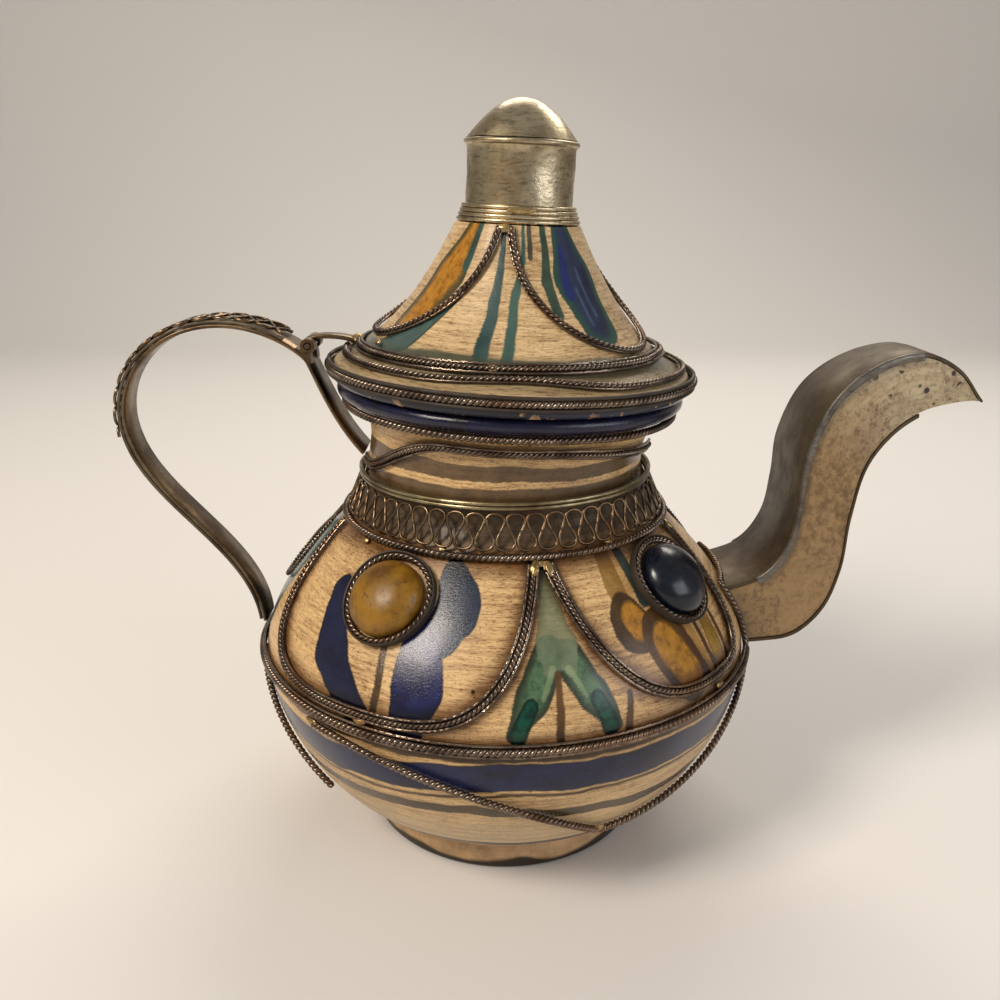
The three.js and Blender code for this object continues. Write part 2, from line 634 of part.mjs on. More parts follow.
const strapRun = new THREE.CurvePath();
strapRun.add(new THREE.CubicBezierCurve3(
  strapFoot, flat(strapFoot.x - footHeight * 0.024, strapFoot.z + footHeight * 0.41),
  flat(-HANDLE_REACH, HANDLE_REACH_HEIGHT - footHeight * 0.38), strapReach));
strapRun.add(new THREE.CubicBezierCurve3(
  strapReach, flat(-HANDLE_REACH, HANDLE_REACH_HEIGHT + archHeight * QUARTER),
  flat(-HANDLE_TOP_REACH - archWidth * QUARTER, HANDLE_TOP_HEIGHT), strapTop));
strapRun.add(new THREE.CubicBezierCurve3(
  strapTop, flat(-HANDLE_TOP_REACH + passWidth * 0.49, HANDLE_TOP_HEIGHT),
  flat(strapHinge.x - passWidth * 0.14, strapHinge.z + passWidth * 0.16), strapHinge));
strapRun.add(new THREE.CubicBezierCurve3(
  strapHinge, flat(strapHinge.x + dropHeight * 0.09, strapHinge.z - dropHeight * 0.19),
  flat(strapNeck.x - dropHeight * 0.31, strapNeck.z + dropHeight * 0.35), strapNeck));

// Place along the strap with the direction that faces away from the hand.
function strapPlace(part, lift) {
  const point = strapRun.getPointAt(part);
  const along = strapRun.getTangentAt(part);
  const outward = new THREE.Vector3(-along.z, 0, along.x);
  return { point: point.addScaledVector(outward, lift), normal: outward, along };
}

const strapSteps = 30;
function strapLine(lift) {
  return range(strapSteps + 1, (i) => strapPlace(i / strapSteps, lift).point);
}

// Ribbon across the handle: an outline in the X-Z plane given a width along Y.
function ribbon(outline, width) {
  const shape = new THREE.Shape(outline.map((p) => new THREE.Vector2(p.x, p.z)));
  const geometry = new THREE.ExtrudeGeometry(shape, { depth: width, bevelEnabled: false, steps: 1 });
  geometry.deleteAttribute('uv');
  geometry.deleteAttribute('normal');
  geometry.rotateX(Math.PI / 2);
  geometry.translate(0, width / 2, 0);
  return facingOut(mergeVertices(geometry, 1e-4));
}

addPiece('handle_strap', ribbon(
  [...strapLine(-STRAP_THICKNESS / 2), ...strapLine(STRAP_THICKNESS / 2).reverse()], STRAP_WIDTH), 'strap');

const strapLength = strapRun.getLength();
const scrollStart = 0.03;
const scrollEnd = 1 - (strapRun.curves[3].getLength() + KNUCKLE_RADIUS * 4) / strapLength;
const handleWaves = Math.round(((scrollEnd - scrollStart) * strapLength) / HANDLE_SCROLL_PITCH);
const handleSwing = STRAP_WIDTH / 2 - 2 * HANDLE_EDGE_WIRE - HANDLE_SCROLL_WIRE - 0.7;
const HANDLE_STEPS = 6;
addPiece('handle_scroll', layAlong(range(handleWaves * HANDLE_STEPS + 1, (i) => {
  const phase = (i / HANDLE_STEPS) * 2 * Math.PI;
  const [run, across] = omega(phase, (scrollEnd - scrollStart - 0.006) / handleWaves, handleSwing);
  const place = strapPlace(scrollStart + 0.003 + run, STRAP_THICKNESS / 2 + SEAT + HANDLE_SCROLL_WIRE * 0.75);
  place.point.y = across;
  return place;
}), scrollSection(HANDLE_SCROLL_WIRE)), 'silver');

// One wire along each long edge of the strap's outer face.
for (const [side, sign] of [['front', -1], ['back', 1]]) {
  addPiece(`handle_edge_wire_${side}`, layAlong(range(strapSteps + 1, (i) => {
    const part = THREE.MathUtils.lerp(0.004, scrollEnd, i / strapSteps);
    const place = strapPlace(part, STRAP_THICKNESS / 2 + SEAT + HANDLE_EDGE_WIRE);
    place.point.y = sign * (STRAP_WIDTH / 2 - HANDLE_EDGE_WIRE);
    return place;
  }), circle(HANDLE_EDGE_WIRE, 4)), 'silver');
}

// Leaf loops on the shoulder under the handle.
function leaf(height, length, width) {
  return layAlong(range(14, (i) => {
    const angle = (i / 14) * 2 * Math.PI;
    const taper = 1 - 0.35 * Math.sin(angle);
    const across = (THREE.MathUtils.radToDeg(width / bodyRadius(height)) / 2) * Math.cos(angle) * taper;
    return placeOn(bodyRadius, -90 + across, height + (length / 2) * Math.sin(angle), SEAT + THIN_WIRE * 1.2);
  }), circle(THIN_WIRE * 1.2, 4), true);
}
addPiece('shoulder_leaf', leaf(LEAF_HEIGHT, LEAF_LENGTH, LEAF_WIDTH), 'rope');

// Hinge: two knuckles on the strap, one on the lid's tongue, and the pin through them

const knuckleSide = (STRAP_WIDTH - TONGUE_WIDTH) / 2 - 0.6;

function tubeAlongY(outer, inner, from, to, sides = 12) {
  const outline = inner > 0
    ? [[inner, from], [outer, from], [outer, to], [inner, to]]
    : [[0, from], [outer, from], [outer, to], [0, to]];
  const geometry = turn(outline, sides);
  geometry.rotateX(-Math.PI / 2);
  geometry.translate(hingePoint.x, 0, hingePoint.z);
  return geometry;
}

// Saddle block that carries a knuckle on the strap, shaped to the strap's outer face.
function knuckle(from, to) {
  const barrel = solid(tubeAlongY(KNUCKLE_RADIUS, PIN_BORE, from, to));
  const foot = strapLine(STRAP_THICKNESS / 2 + SEAT).filter(
    (p) => Math.abs(p.x - hingePoint.x) < 5 && p.z > hingePoint.z - 9);
  const block = new THREE.Shape([...foot, flat(hingePoint.x + 0.6, hingePoint.z - PIN_BORE - 0.3),
    flat(hingePoint.x - 0.9, hingePoint.z - PIN_BORE - 0.3)].map((p) => new THREE.Vector2(p.x, p.z)));
  const geometry = new THREE.ExtrudeGeometry(block, { depth: to - from, bevelEnabled: false, steps: 1 });
  geometry.deleteAttribute('uv');
  geometry.deleteAttribute('normal');
  geometry.rotateX(Math.PI / 2);
  geometry.translate(0, to, 0);
  const joined = barrel.add(solid(facingOut(mergeVertices(geometry, 1e-4))));
  return geometryOf(joined);
}
const knuckleStart = TONGUE_WIDTH / 2 + 0.4;
addPiece('hinge_knuckle_front', knuckle(-knuckleStart - knuckleSide, -knuckleStart), 'strap');
addPiece('hinge_knuckle_back', knuckle(knuckleStart, knuckleStart + knuckleSide), 'strap');
addPiece('hinge_pin', tubeAlongY(PIN_RADIUS, 0, -STRAP_WIDTH / 2 + 0.1, STRAP_WIDTH / 2 - 0.1), 'silver');

// Lid: turned shell with its skirt, lip, flange and concave cone

const lidLipTop = LID_SEAT + LID_LIP;
const coneFoot = new THREE.Vector2(CONE_FOOT_RADIUS, LID_SEAT + CONE_FOOT_RISE);
const coneTop = new THREE.Vector2(CONE_TOP_RADIUS, LID_SEAT + CONE_TOP_RISE);
const coneWaist = new THREE.Vector2(
  CONE_FOOT_RADIUS - (CONE_FOOT_RADIUS - CONE_TOP_RADIUS) * 0.5,
  coneFoot.y + (coneTop.y - coneFoot.y) * 0.24);
const cone = new THREE.QuadraticBezierCurve(coneFoot, coneWaist, coneTop);
const flangeOuter = new THREE.Vector2(LID_RADIUS - 0.4, lidLipTop + 0.3);
const flangeInner = new THREE.Vector2(CONE_FOOT_RADIUS + 1.6, coneFoot.y - 2.2);
const knobTop = coneTop.y + FINIAL_COLLAR_HEIGHT + FINIAL_HEIGHT * 0.5;
const knobRadius = FINIAL_RADIUS - FINIAL_SHEET - SEAT - 0.2;

// Lid outline as a radius for each height, from the flange's edge to the cone's top.
function lidRadius(z) {
  const rows = [flangeOuter, flangeInner, ...cone.getPoints(12)];
  for (let i = 1; i < rows.length; i += 1) {
    if (z <= rows[i].y) {
      const part = (z - rows[i - 1].y) / (rows[i].y - rows[i - 1].y);
      return THREE.MathUtils.lerp(rows[i - 1].x, rows[i].x, part);
    }
  }
  return CONE_TOP_RADIUS;
}

const skirtRadius = MOUTH_RADIUS - LID_SKIRT_PLAY;
const coneRows = cone.getPoints(5).map((p) => [p.x, p.y]);
const innerRows = cone.getPoints(2).map((p) => [p.x - LID_WALL, p.y - LID_WALL * 0.9]).reverse();
addPiece('lid_shell', turn([
  [skirtRadius - 4.4, LID_SEAT - LID_SKIRT_DEPTH], [skirtRadius, LID_SEAT - LID_SKIRT_DEPTH],
  [skirtRadius, LID_SEAT], [LID_RADIUS - 1.4, LID_SEAT],
  [LID_RADIUS, LID_SEAT + 1.6], [flangeOuter.x, flangeOuter.y],
  [flangeInner.x, flangeInner.y], ...coneRows, [knobRadius, coneTop.y + 0.1], [knobRadius, knobTop],
  [0, knobTop], [0, coneTop.y - 6], ...innerRows, [skirtRadius - 4.6, coneFoot.y - 6],
]), 'glaze', leaning);

// Two ropes lie one over the other round the lid's edge.
const edgeRopeRadius = LID_RADIUS + SEAT;
addPiece('lid_edge_ropes', turn([
  [edgeRopeRadius, edgeLow], [edgeRopeRadius + 1.6, edgeLow],
  [edgeRopeRadius + 2, edgeLow + EDGE_ROPES_HEIGHT * 0.26],
  [edgeRopeRadius + 1.4, edgeLow + EDGE_ROPES_HEIGHT * 0.5],
  [edgeRopeRadius + 1.5, edgeLow + EDGE_ROPES_HEIGHT * 0.84], [edgeRopeRadius, edgeLow + EDGE_ROPES_HEIGHT],
]), 'rope', leaning);

const footRope = placeOn(lidRadius, 0, coneFoot.y + 0.3, ROPE + SEAT + 0.15).point;
addPiece('lid_foot_rope', turn(ringOutline(-footRope.y, footRope.z, ROPE)), 'rope', leaning);

// Loose rope on the flange: it touches the foot rope in front and strays towards the edge
// on either side, most by the spout.
function flangeMiddle(radius) {
  return THREE.MathUtils.mapLinear(radius, flangeOuter.x, flangeInner.x, flangeOuter.y, flangeInner.y);
}
addPiece('lid_flange_rope', layAlong(range(38, (i) => {
  const angle = behind(0) + 3 + (i / 37) * 354;
  const away = ((angle - FLANGE_ROPE_NEAR_ANGLE + 540) % 360) - 180;
  const stray = away > 0 ? FLANGE_ROPE_STRAY_BY_SPOUT : FLANGE_ROPE_STRAY_BY_HANDLE;
  const strayed = THREE.MathUtils.lerp(stray, FLANGE_ROPE_STRAY_BY_HANDLE, ease(Math.abs(away), 90, 180));
  const radius = flangeInner.x + FLANGE_ROPE_STANDOFF + strayed * ease(Math.abs(away), 0, 34);
  return placeOn(lidRadius, angle, flangeMiddle(radius), FLANGE_ROPE + SEAT);
}), circle(FLANGE_ROPE, 4, -Math.PI / 2)), 'rope', leaning);

// Swags hung between peaks at the finial's collar: centre and half the angle of each.
const swagTopHeight = coneTop.y - 0.9;
const swagLowHeight = coneFoot.y + 2.2;
const lidSwags = { front_left: [-78, 62], front_right: [56, 62], back: [170, 41] };
const swagSection = [
  [-LID_SWAG_HALF, 0], [LID_SWAG_HALF, 0], [LID_SWAG_HALF * 0.9, LID_SWAG_THICKNESS * 0.55],
  [0, LID_SWAG_THICKNESS], [-LID_SWAG_HALF * 0.9, LID_SWAG_THICKNESS * 0.55],
];
for (const [side, [centre, half]] of Object.entries(lidSwags)) {
  addPiece(`lid_swag_${side}`, layAlong(range(19, (i) => {
    const t = (i / 18) * 2 - 1;
    const spread = Math.sign(t) * Math.abs(t) ** 0.8;
    const climb = 0.8 * Math.abs(spread) ** 2.1 + 0.2 * Math.abs(spread) ** 14;
    const height = THREE.MathUtils.lerp(swagLowHeight, swagTopHeight, climb);
    return placeOn(lidRadius, centre + spread * half, height, SEAT + 0.1);
  }), swagSection), 'rope', leaning);
}

// Finial: stacked wires, a sheet sleeve with a bead at its mouth, and a dome

const collarFoot = coneTop.y + SEAT;
const sleeveFoot = collarFoot;
const sleeveTop = collarFoot + FINIAL_COLLAR_HEIGHT + FINIAL_HEIGHT;
const wiresInner = FINIAL_RADIUS + SEAT;
const wireCount = 4;
const wirePitch = FINIAL_COLLAR_HEIGHT / wireCount;
const stackedWires = range(wireCount, (i) => {
  const swell = (1 - i / (wireCount - 1)) * 1.2;
  const low = collarFoot + i * wirePitch;
  return [[wiresInner + swell + 0.5, low + 0.1], [wiresInner + swell + 0.8, low + wirePitch * 0.7]];
}).flat();
addPiece('finial_collar_wires', turn([
  [wiresInner, collarFoot], ...stackedWires, [wiresInner, collarFoot + FINIAL_COLLAR_HEIGHT],
], FINIAL_SIDES), 'silver', leaning);
addPiece('finial_sleeve', turn([
  [FINIAL_RADIUS - FINIAL_SHEET, sleeveFoot], [FINIAL_RADIUS, sleeveFoot], [FINIAL_RADIUS, sleeveTop - 0.9],
  [FINIAL_RADIUS + 0.8, sleeveTop - 0.7], [FINIAL_RADIUS + 0.8, sleeveTop],
  [FINIAL_RADIUS - FINIAL_SHEET, sleeveTop],
], FINIAL_SIDES), 'silver', leaning);
const domeRows = range(6, (i) => {
  const share = 1 - (i / 6) ** 1.4;
  return [DOME_RADIUS * share, sleeveTop + SEAT + DOME_RISE * (1 - share ** DOME_FULLNESS)];
});
addPiece('finial_dome', turn([
  [0, sleeveTop + SEAT], ...domeRows, [0, sleeveTop + SEAT + DOME_RISE],
], FINIAL_SIDES), 'silver', leaning);

// Tongue: rolled round the pin, then over the edge ropes and the foot rope to the cone.
const TONGUE_THICKNESS = 0.9;
const overRope = footRope.z + ROPE + TONGUE_THICKNESS / 2 + SEAT + 0.1;
const tongueLine = [
  flat(hingePoint.x, hingePoint.z + KNUCKLE_RADIUS - TONGUE_THICKNESS / 2),
  flat(hingePoint.x + 2.5, hingePoint.z + KNUCKLE_RADIUS - TONGUE_THICKNESS / 2 + 0.3),
  leant(footRope.y - 2.5, overRope - 0.6),
  leant(footRope.y + ROPE * 0.5, overRope),
];
function lidTongue() {
  const top = tongueLine.map((p) => flat(p.x, p.z + TONGUE_THICKNESS / 2));
  const bottom = tongueLine.map((p) => flat(p.x, p.z - TONGUE_THICKNESS / 2)).reverse();
  const sheet = solid(ribbon([...top, ...bottom], TONGUE_WIDTH));
  const barrel = solid(tubeAlongY(KNUCKLE_RADIUS, 0, -TONGUE_WIDTH / 2, TONGUE_WIDTH / 2));
  const bore = solid(tubeAlongY(PIN_BORE, 0, -TONGUE_WIDTH, TONGUE_WIDTH));
  return geometryOf(sheet.add(barrel).subtract(bore));
}
addPiece('lid_tongue', lidTongue(), 'strap');

// Spout: plates and strips are lofted between the two edges and cut back to the body

const edgeCurve = (pairs) => new THREE.CatmullRomCurve3(pairs.map(([out, z]) => flat(BELLY_RADIUS + out, z)));
const upperEdge = edgeCurve(SPOUT_UPPER_EDGE);
const lowerEdge = edgeCurve(SPOUT_LOWER_EDGE);
const spoutSteps = 22;

function spoutHalfWidth(part) {
  return THREE.MathUtils.lerp(SPOUT_ROOT_HALF_WIDTH, SPOUT_TIP_HALF_WIDTH, ease(part, 0.48, 1.04));
}

// Point between the edges: share 0 on the lower one, 1 on the upper one, with an inset
// in millimetres from whichever edge is nearer.
function spoutPoint(part, share, inset, y) {
  const low = lowerEdge.getPoint(part);
  const high = upperEdge.getPoint(part);
  const across = high.clone().sub(low);
  const span = across.length();
  across.normalize();
  const point = share < 0.5
    ? low.addScaledVector(across, share * span + Math.min(inset, span * 0.4))
    : high.addScaledVector(across, (share - 1) * span - Math.min(inset, span * 0.4));
  return point.setY(y);
}

function spoutParts(from, to, steps = spoutSteps) {
  return range(steps + 1, (i) => THREE.MathUtils.lerp(from, to, i / steps));
}

function spoutPlate(sign) {
  const inset = STRIP_THICKNESS + SEAT * 1.8;
  return loft(spoutParts(0, 0.985).map((part) => {
    const outer = sign * spoutHalfWidth(part);
    const inner = outer - sign * BONE_THICKNESS;
    return [spoutPoint(part, 0, inset, outer), spoutPoint(part, 1, inset, outer),
      spoutPoint(part, 1, inset, inner), spoutPoint(part, 0, inset, inner)];
  }));
}

function spoutStrip(share, from, to) {
  return loft(spoutParts(from, to).map((part) => {
    const half = spoutHalfWidth(part);
    return [spoutPoint(part, share, 0, -half), spoutPoint(part, share, 0, half),
      spoutPoint(part, share, STRIP_THICKNESS, half), spoutPoint(part, share, STRIP_THICKNESS, -half)];
  }));
}

function spoutTrim(sign) {
  return loft(spoutParts(0.17, 0.8, 16).map((part) => {
    const inner = sign * (spoutHalfWidth(part) + SEAT);
    const outer = inner + sign * TRIM_THICKNESS;
    return [spoutPoint(part, 1, 0, inner), spoutPoint(part, 1, 0, outer),
      spoutPoint(part, 1, TRIM_WIDTH, outer), spoutPoint(part, 1, TRIM_WIDTH, inner)];
  }));
}

addPiece('spout_bone_front', cutToBody(spoutPlate(-1)), 'bone');
addPiece('spout_bone_back', cutToBody(spoutPlate(1)), 'bone');
addPiece('spout_upper_strip', cutToBody(spoutStrip(1, 0, 1)), 'strip');
addPiece('spout_lower_strip', cutToBody(spoutStrip(0, 0, MOUTH_START)), 'strip');
addPiece('spout_trim_front', spoutTrim(-1), 'silver');
addPiece('spout_trim_back', spoutTrim(1), 'silver');

// Wire bent square round the spout's root, lying on the belly.
const rootLow = SPOUT_LOWER_EDGE[1][1] - SEAT - ROOT_WIRE - 0.2;
const rootHigh = SPOUT_UPPER_EDGE[1][1] + ROOT_WIRE;
const rootHalf = SPOUT_ROOT_HALF_WIDTH + SEAT + ROOT_WIRE;
const rootBend = 0.7;
const rootCorners = [
  [rootHalf, rootLow + rootBend], [rootHalf, rootHigh - rootBend],
  [rootHalf - rootBend, rootHigh], [rootBend - rootHalf, rootHigh],
  [-rootHalf, rootHigh - rootBend], [-rootHalf, rootLow + rootBend],
  [rootBend - rootHalf, rootLow], [rootHalf - rootBend, rootLow],
];
const rootPath = rootCorners.flatMap(([y, z], i) => {
  const [nextY, nextZ] = rootCorners[(i + 1) % rootCorners.length];
  const pieces = i % 2 === 0 ? 4 : 1;
  return range(pieces, (k) => [
    THREE.MathUtils.lerp(y, nextY, k / pieces), THREE.MathUtils.lerp(z, nextZ, k / pieces)]);
});
addPiece('spout_root_wire', layAlong(rootPath.map(([y, z]) => {
  const aside = THREE.MathUtils.radToDeg(Math.asin(y / bodyRadius(z)));
  return placeOn(bodyRadius, 90 + aside, z, ROOT_WIRE + SEAT);
}), circle(ROOT_WIRE, 5, -Math.PI / 2), true), 'rope');

export default teapot;
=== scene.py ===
# %% [markdown]
# # A teapot in wire filigree
#
# The real pot is thrown and painted earthenware. A metalworker then dressed it: twisted
# ropes and thin wires lie on the clay, an openwork collar of looping wire rings the neck,
# and the handle, the hinge and the spout's frame are sheet metal. Two curved plates of
# bone close the spout's sides, and four polished stones sit in rope bezels.
#
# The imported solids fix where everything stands. This script keeps those places and makes
# each piece again with the detail that the solids leave out: twist, roundness, glaze and wear.

# %% Setup
import math
from bisect import bisect_left
from itertools import accumulate

import bmesh
import bpy
from mathutils import Matrix, Vector, geometry
from mathutils import noise as mathutils_noise


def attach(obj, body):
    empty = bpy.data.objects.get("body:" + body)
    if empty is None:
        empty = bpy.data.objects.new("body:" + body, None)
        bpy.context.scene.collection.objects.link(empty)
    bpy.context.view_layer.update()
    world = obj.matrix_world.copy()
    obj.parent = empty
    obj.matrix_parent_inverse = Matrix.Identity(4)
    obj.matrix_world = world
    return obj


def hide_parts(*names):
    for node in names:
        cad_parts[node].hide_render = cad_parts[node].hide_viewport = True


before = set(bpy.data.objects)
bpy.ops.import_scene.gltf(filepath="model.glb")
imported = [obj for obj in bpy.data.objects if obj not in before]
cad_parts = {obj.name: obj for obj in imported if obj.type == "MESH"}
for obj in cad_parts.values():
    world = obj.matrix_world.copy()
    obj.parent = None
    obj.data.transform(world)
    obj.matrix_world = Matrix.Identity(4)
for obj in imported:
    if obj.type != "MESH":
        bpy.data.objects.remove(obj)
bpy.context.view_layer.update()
scene = bpy.context.scene
MM = 0.001
UP = Vector((0, 0, 1))

# %% [markdown]
# ## The view
#
# The photograph was taken close by, from a little above. A camera that stands at the same
# place with the same lens repeats its strong perspective, which no zoomed lens would do.

# %% Camera
lens = bpy.data.cameras.new("Photograph view")
lens.lens = 34.2
lens.sensor_width = 36
camera = bpy.data.objects.new("Photograph view", lens)
camera.location = (-0.0014, -0.2708, 0.1866)
camera.rotation_euler = (math.radians(72), 0, 0)
scene.collection.objects.link(camera)
scene.camera = camera
scene.view_settings.view_transform = "Standard"
print("camera at", tuple(round(v, 3) for v in camera.location))

# %% [markdown]
# ## The studio
#
# Metal shows what stands around it, so the light comes from large soft panels: one high on
# the left, a weaker one on the right, and one above and behind that draws a bright line on
# the rims. The floor is a pale sheet that runs up behind the pot without an edge.

# %% Node helpers
# Each helper adds to `tree`, the node tree that new_material or new_group last made.


def colour(code):
    """Paint colour as written on a screen, turned to the linear values that Blender mixes."""
    parts = [int(code[i : i + 2], 16) / 255 for i in (0, 2, 4)]
    return tuple(p / 12.92 if p <= 0.04045 else ((p + 0.055) / 1.055) ** 2.4 for p in parts) + (1.0,)


def feed(made, inputs):
    """Links a node's sockets, or sets them; a colour may be given by its code."""
    for name, value in inputs.items():
        if isinstance(value, bpy.types.NodeSocket):
            tree.links.new(value, made.inputs[name])
        else:
            coded = isinstance(value, str) and made.inputs[name].type == "RGBA"
            made.inputs[name].default_value = colour(value) if coded else value
    return made


def add_node(kind, inputs=None, **settings):
    made = tree.nodes.new(kind)
    for name, value in settings.items():
        setattr(made, name, value)
    return feed(made, inputs or {})


def number(operation, *values):
    return add_node("ShaderNodeMath", dict(enumerate(values)), operation=operation).outputs[0]


def times(first, second):
    return number("MULTIPLY", first, second)


def within_one(value):
    """Held between 0 and 1 by two plain sums, which cost a large material less than a clamp."""
    return number("MINIMUM", number("MAXIMUM", value, 0.0), 1.0)


def vector(operation, *values):
    inputs = dict(enumerate(values))
    if operation == "SCALE":
        inputs["Scale"] = inputs.pop(1)
    made = add_node("ShaderNodeVectorMath", inputs, operation=operation)
    return made.outputs["Value" if operation in ("DOT_PRODUCT", "LENGTH") else 0]


def smooth(value, low, high, start=0.0, end=1.0):
    inputs = {"Value": value, 1: low, 2: high, 3: start, 4: end}
    return add_node("ShaderNodeMapRange", inputs, interpolation_type="SMOOTHSTEP", clamp=False).outputs[0]


def mix(factor, first, second, blend="MIX"):
    inputs = {0: factor, 6: first, 7: second}
    return add_node("ShaderNodeMix", inputs, data_type="RGBA", blend_type=blend,
                    clamp_factor=False).outputs[2]


def noise(place, scale, detail=3.0, rough=0.55, output="Fac"):
    inputs = {"Vector": place, "Scale": scale, "Detail": detail, "Roughness": rough}
    return add_node("ShaderNodeTexNoise", inputs).outputs[output]


def attribute(name, output="Fac"):
    return add_node("ShaderNodeAttribute", attribute_name=name).outputs[output]


def new_material(name):
    global tree
    material = bpy.data.materials.new(name)
    material.use_nodes = True
    tree = material.node_tree
    return material, tree.nodes["Principled BSDF"]


def own_place():
    return add_node("ShaderNodeTexCoord").outputs["Object"]


def bumped(height, depth, strength=0.5):
    inputs = {"Height": height, "Distance": depth, "Strength": strength}
    return add_node("ShaderNodeBump", inputs).outputs[0]


def new_group(name, inputs, outputs, kind="ShaderNodeTree"):
    """Empty group with sockets of the kinds or with the numbers given, and what flows in."""
    global tree
    tree = bpy.data.node_groups.new(name, kind)
    for way, sockets in (("INPUT", inputs), ("OUTPUT", outputs)):
        for label, value in sockets.items():
            sort = "Float" if isinstance(value, float) else value
            socket = tree.interface.new_socket(label, in_out=way, socket_type="NodeSocket" + sort)
            if isinstance(value, float):
                socket.default_value = value
    return tree, add_node("NodeGroupInput").outputs


# %% Floor, backdrop and lamps
floor_material, shader = new_material("Pale paper")
feed(shader, {"Base Color": "dad7d3", "Roughness": 0.75})

sweep = bmesh.new()
rows = []
for i in range(25):
    bend = min(max((i - 8) / 10, 0), 1) * math.pi / 2
    depth = 0.9 + 0.35 * math.sin(bend) if i > 8 else -9 + 9.9 * i / 8
    rise = 0.35 * (1 - math.cos(bend)) + max(i - 18, 0) * 0.6
    rows.append([sweep.verts.new((x, depth, rise)) for x in (-9.0, 9.0)])
for near, far in zip(rows, rows[1:]):
    sweep.faces.new((near[0], near[1], far[1], far[0]))
floor_mesh = bpy.data.meshes.new("floor")
sweep.to_mesh(floor_mesh)
sweep.free()
floor_mesh.shade_smooth()
floor_mesh.materials.append(floor_material)
floor = bpy.data.objects.new("floor", floor_mesh)
scene.collection.objects.link(floor)


def panel(name, place, size, power, tint="ffffff"):
    lamp = bpy.data.lights.new(name, "AREA")
    lamp.shape = "RECTANGLE"
    lamp.size, lamp.size_y = size
    lamp.energy = power
    lamp.color = colour(tint)[:3]
    made = bpy.data.objects.new(name, lamp)
    made.location = place
    aim = Vector((0, 0, 0.09)) - Vector(place)
    made.rotation_euler = aim.to_track_quat("-Z", "Y").to_euler()
    scene.collection.objects.link(made)


panel("key panel", (-0.66, -0.56, 0.88), (0.36, 0.36), 11.5, "fff3e4")
panel("fill panel", (0.9, -0.6, 0.45), (0.7, 0.5), 3.8, "f2f5ff")
panel("back panel", (0.2, 0.75, 0.85), (0.9, 0.3), 6.5, "fff6ea")
world = bpy.data.worlds.new("Room")
scene.world = world
world.use_nodes = True
world.node_tree.nodes["Background"].inputs["Color"].default_value = colour("d9d6d2")
world.node_tree.nodes["Background"].inputs["Strength"].default_value = 0.44

# %% [markdown]
# ## The turned forms
#
# Body and lid were thrown on a wheel, so each is an outline turned about an axis. The same
# outline also says where a wire lies: an angle round the pot and a height give a point on
# the clay and the direction away from it. Lengths here are in millimetres.

# %% Outlines of body and lid
FOOT_RADIUS, GROOVE_RADIUS, GROOVE_HEIGHT = 42, 40, 9.8
BELLY_RADIUS, BELLY_HEIGHT, BELLY_FULLNESS = 72.2, 56, 1.63
SHOULDER_RADIUS, SHOULDER_HEIGHT = 45, 98.4
CORNER_RADIUS, CORNER_HEIGHT, CORNER_FULLNESS = 40, 105.5, 1.45
NECK_RADIUS, NECK_HEIGHT = 39.4, 118.5
FLARE_RADIUS, FLARE_HEIGHT = 46.4, 130
LIP_RADIUS, LIP_THICKNESS, MOUTH_RADIUS, WALL, FLOOR = 49.2, 4.6, 43, 5, 8
LEAN, LEAN_PIVOT = math.radians(2.6), 100
EQUATOR, BELT_HALF = 58.6, 1.9
LIP_TOP = FLARE_HEIGHT + LIP_THICKNESS
LID_SEAT = LIP_TOP + 0.3
LID_RADIUS, LID_LIP = 50.4, 5.2
CONE_FOOT = Vector((41, LID_SEAT + 11))
CONE_TOP = Vector((17.2, LID_SEAT + 43.4))


def lerp(low, high, part):
    return low + (high - low) * part


def ease(value, low, high):
    part = min(max((value - low) / (high - low), 0.0), 1.0)
    return part * part * (3 - 2 * part)


def outward_at(turn):
    """Level direction away from the axis; a turn of 0 faces the viewer."""
    return Vector((math.sin(turn), -math.cos(turn), 0))


def body_radius(z):
    if z < GROOVE_HEIGHT:
        return FOOT_RADIUS
    if z < BELLY_HEIGHT:
        drop = (BELLY_HEIGHT - z) / (BELLY_HEIGHT - GROOVE_HEIGHT)
        swell = (1 - drop**BELLY_FULLNESS) ** (1 / BELLY_FULLNESS)
        return lerp(GROOVE_RADIUS, BELLY_RADIUS, swell)
    if z < SHOULDER_HEIGHT:
        rise = (z - BELLY_HEIGHT) / (SHOULDER_HEIGHT - BELLY_HEIGHT)
        return lerp(SHOULDER_RADIUS, BELLY_RADIUS, math.cos(rise * math.pi / 2))
    if z < CORNER_HEIGHT:
        below = (CORNER_HEIGHT - z) / (CORNER_HEIGHT - SHOULDER_HEIGHT)
        return lerp(CORNER_RADIUS, SHOULDER_RADIUS, below**CORNER_FULLNESS)
    if z < NECK_HEIGHT:
        return lerp(CORNER_RADIUS, NECK_RADIUS, (z - CORNER_HEIGHT) / (NECK_HEIGHT - CORNER_HEIGHT))
    return lerp(NECK_RADIUS, FLARE_RADIUS, ((z - NECK_HEIGHT) / (FLARE_HEIGHT - NECK_HEIGHT)) ** 2.4)


def cone_point(part):
    waist = Vector((lerp(CONE_FOOT.x, CONE_TOP.x, 0.5), lerp(CONE_FOOT.y, CONE_TOP.y, 0.24)))
    return CONE_FOOT * (1 - part) ** 2 + waist * 2 * part * (1 - part) + CONE_TOP * part**2


FLANGE_OUTER = Vector((LID_RADIUS - 0.4, LID_SEAT + LID_LIP + 0.3))
FLANGE_INNER = Vector((CONE_FOOT.x + 1.6, CONE_FOOT.y - 2.2))
lid_rows = [FLANGE_OUTER, FLANGE_INNER] + [cone_point(i / 40) for i in range(41)]


def lid_radius(z):
    for low, high in zip(lid_rows, lid_rows[1:]):
        if z <= high.y:
            return lerp(low.x, high.x, (z - low.y) / (high.y - low.y))
    return CONE_TOP.x


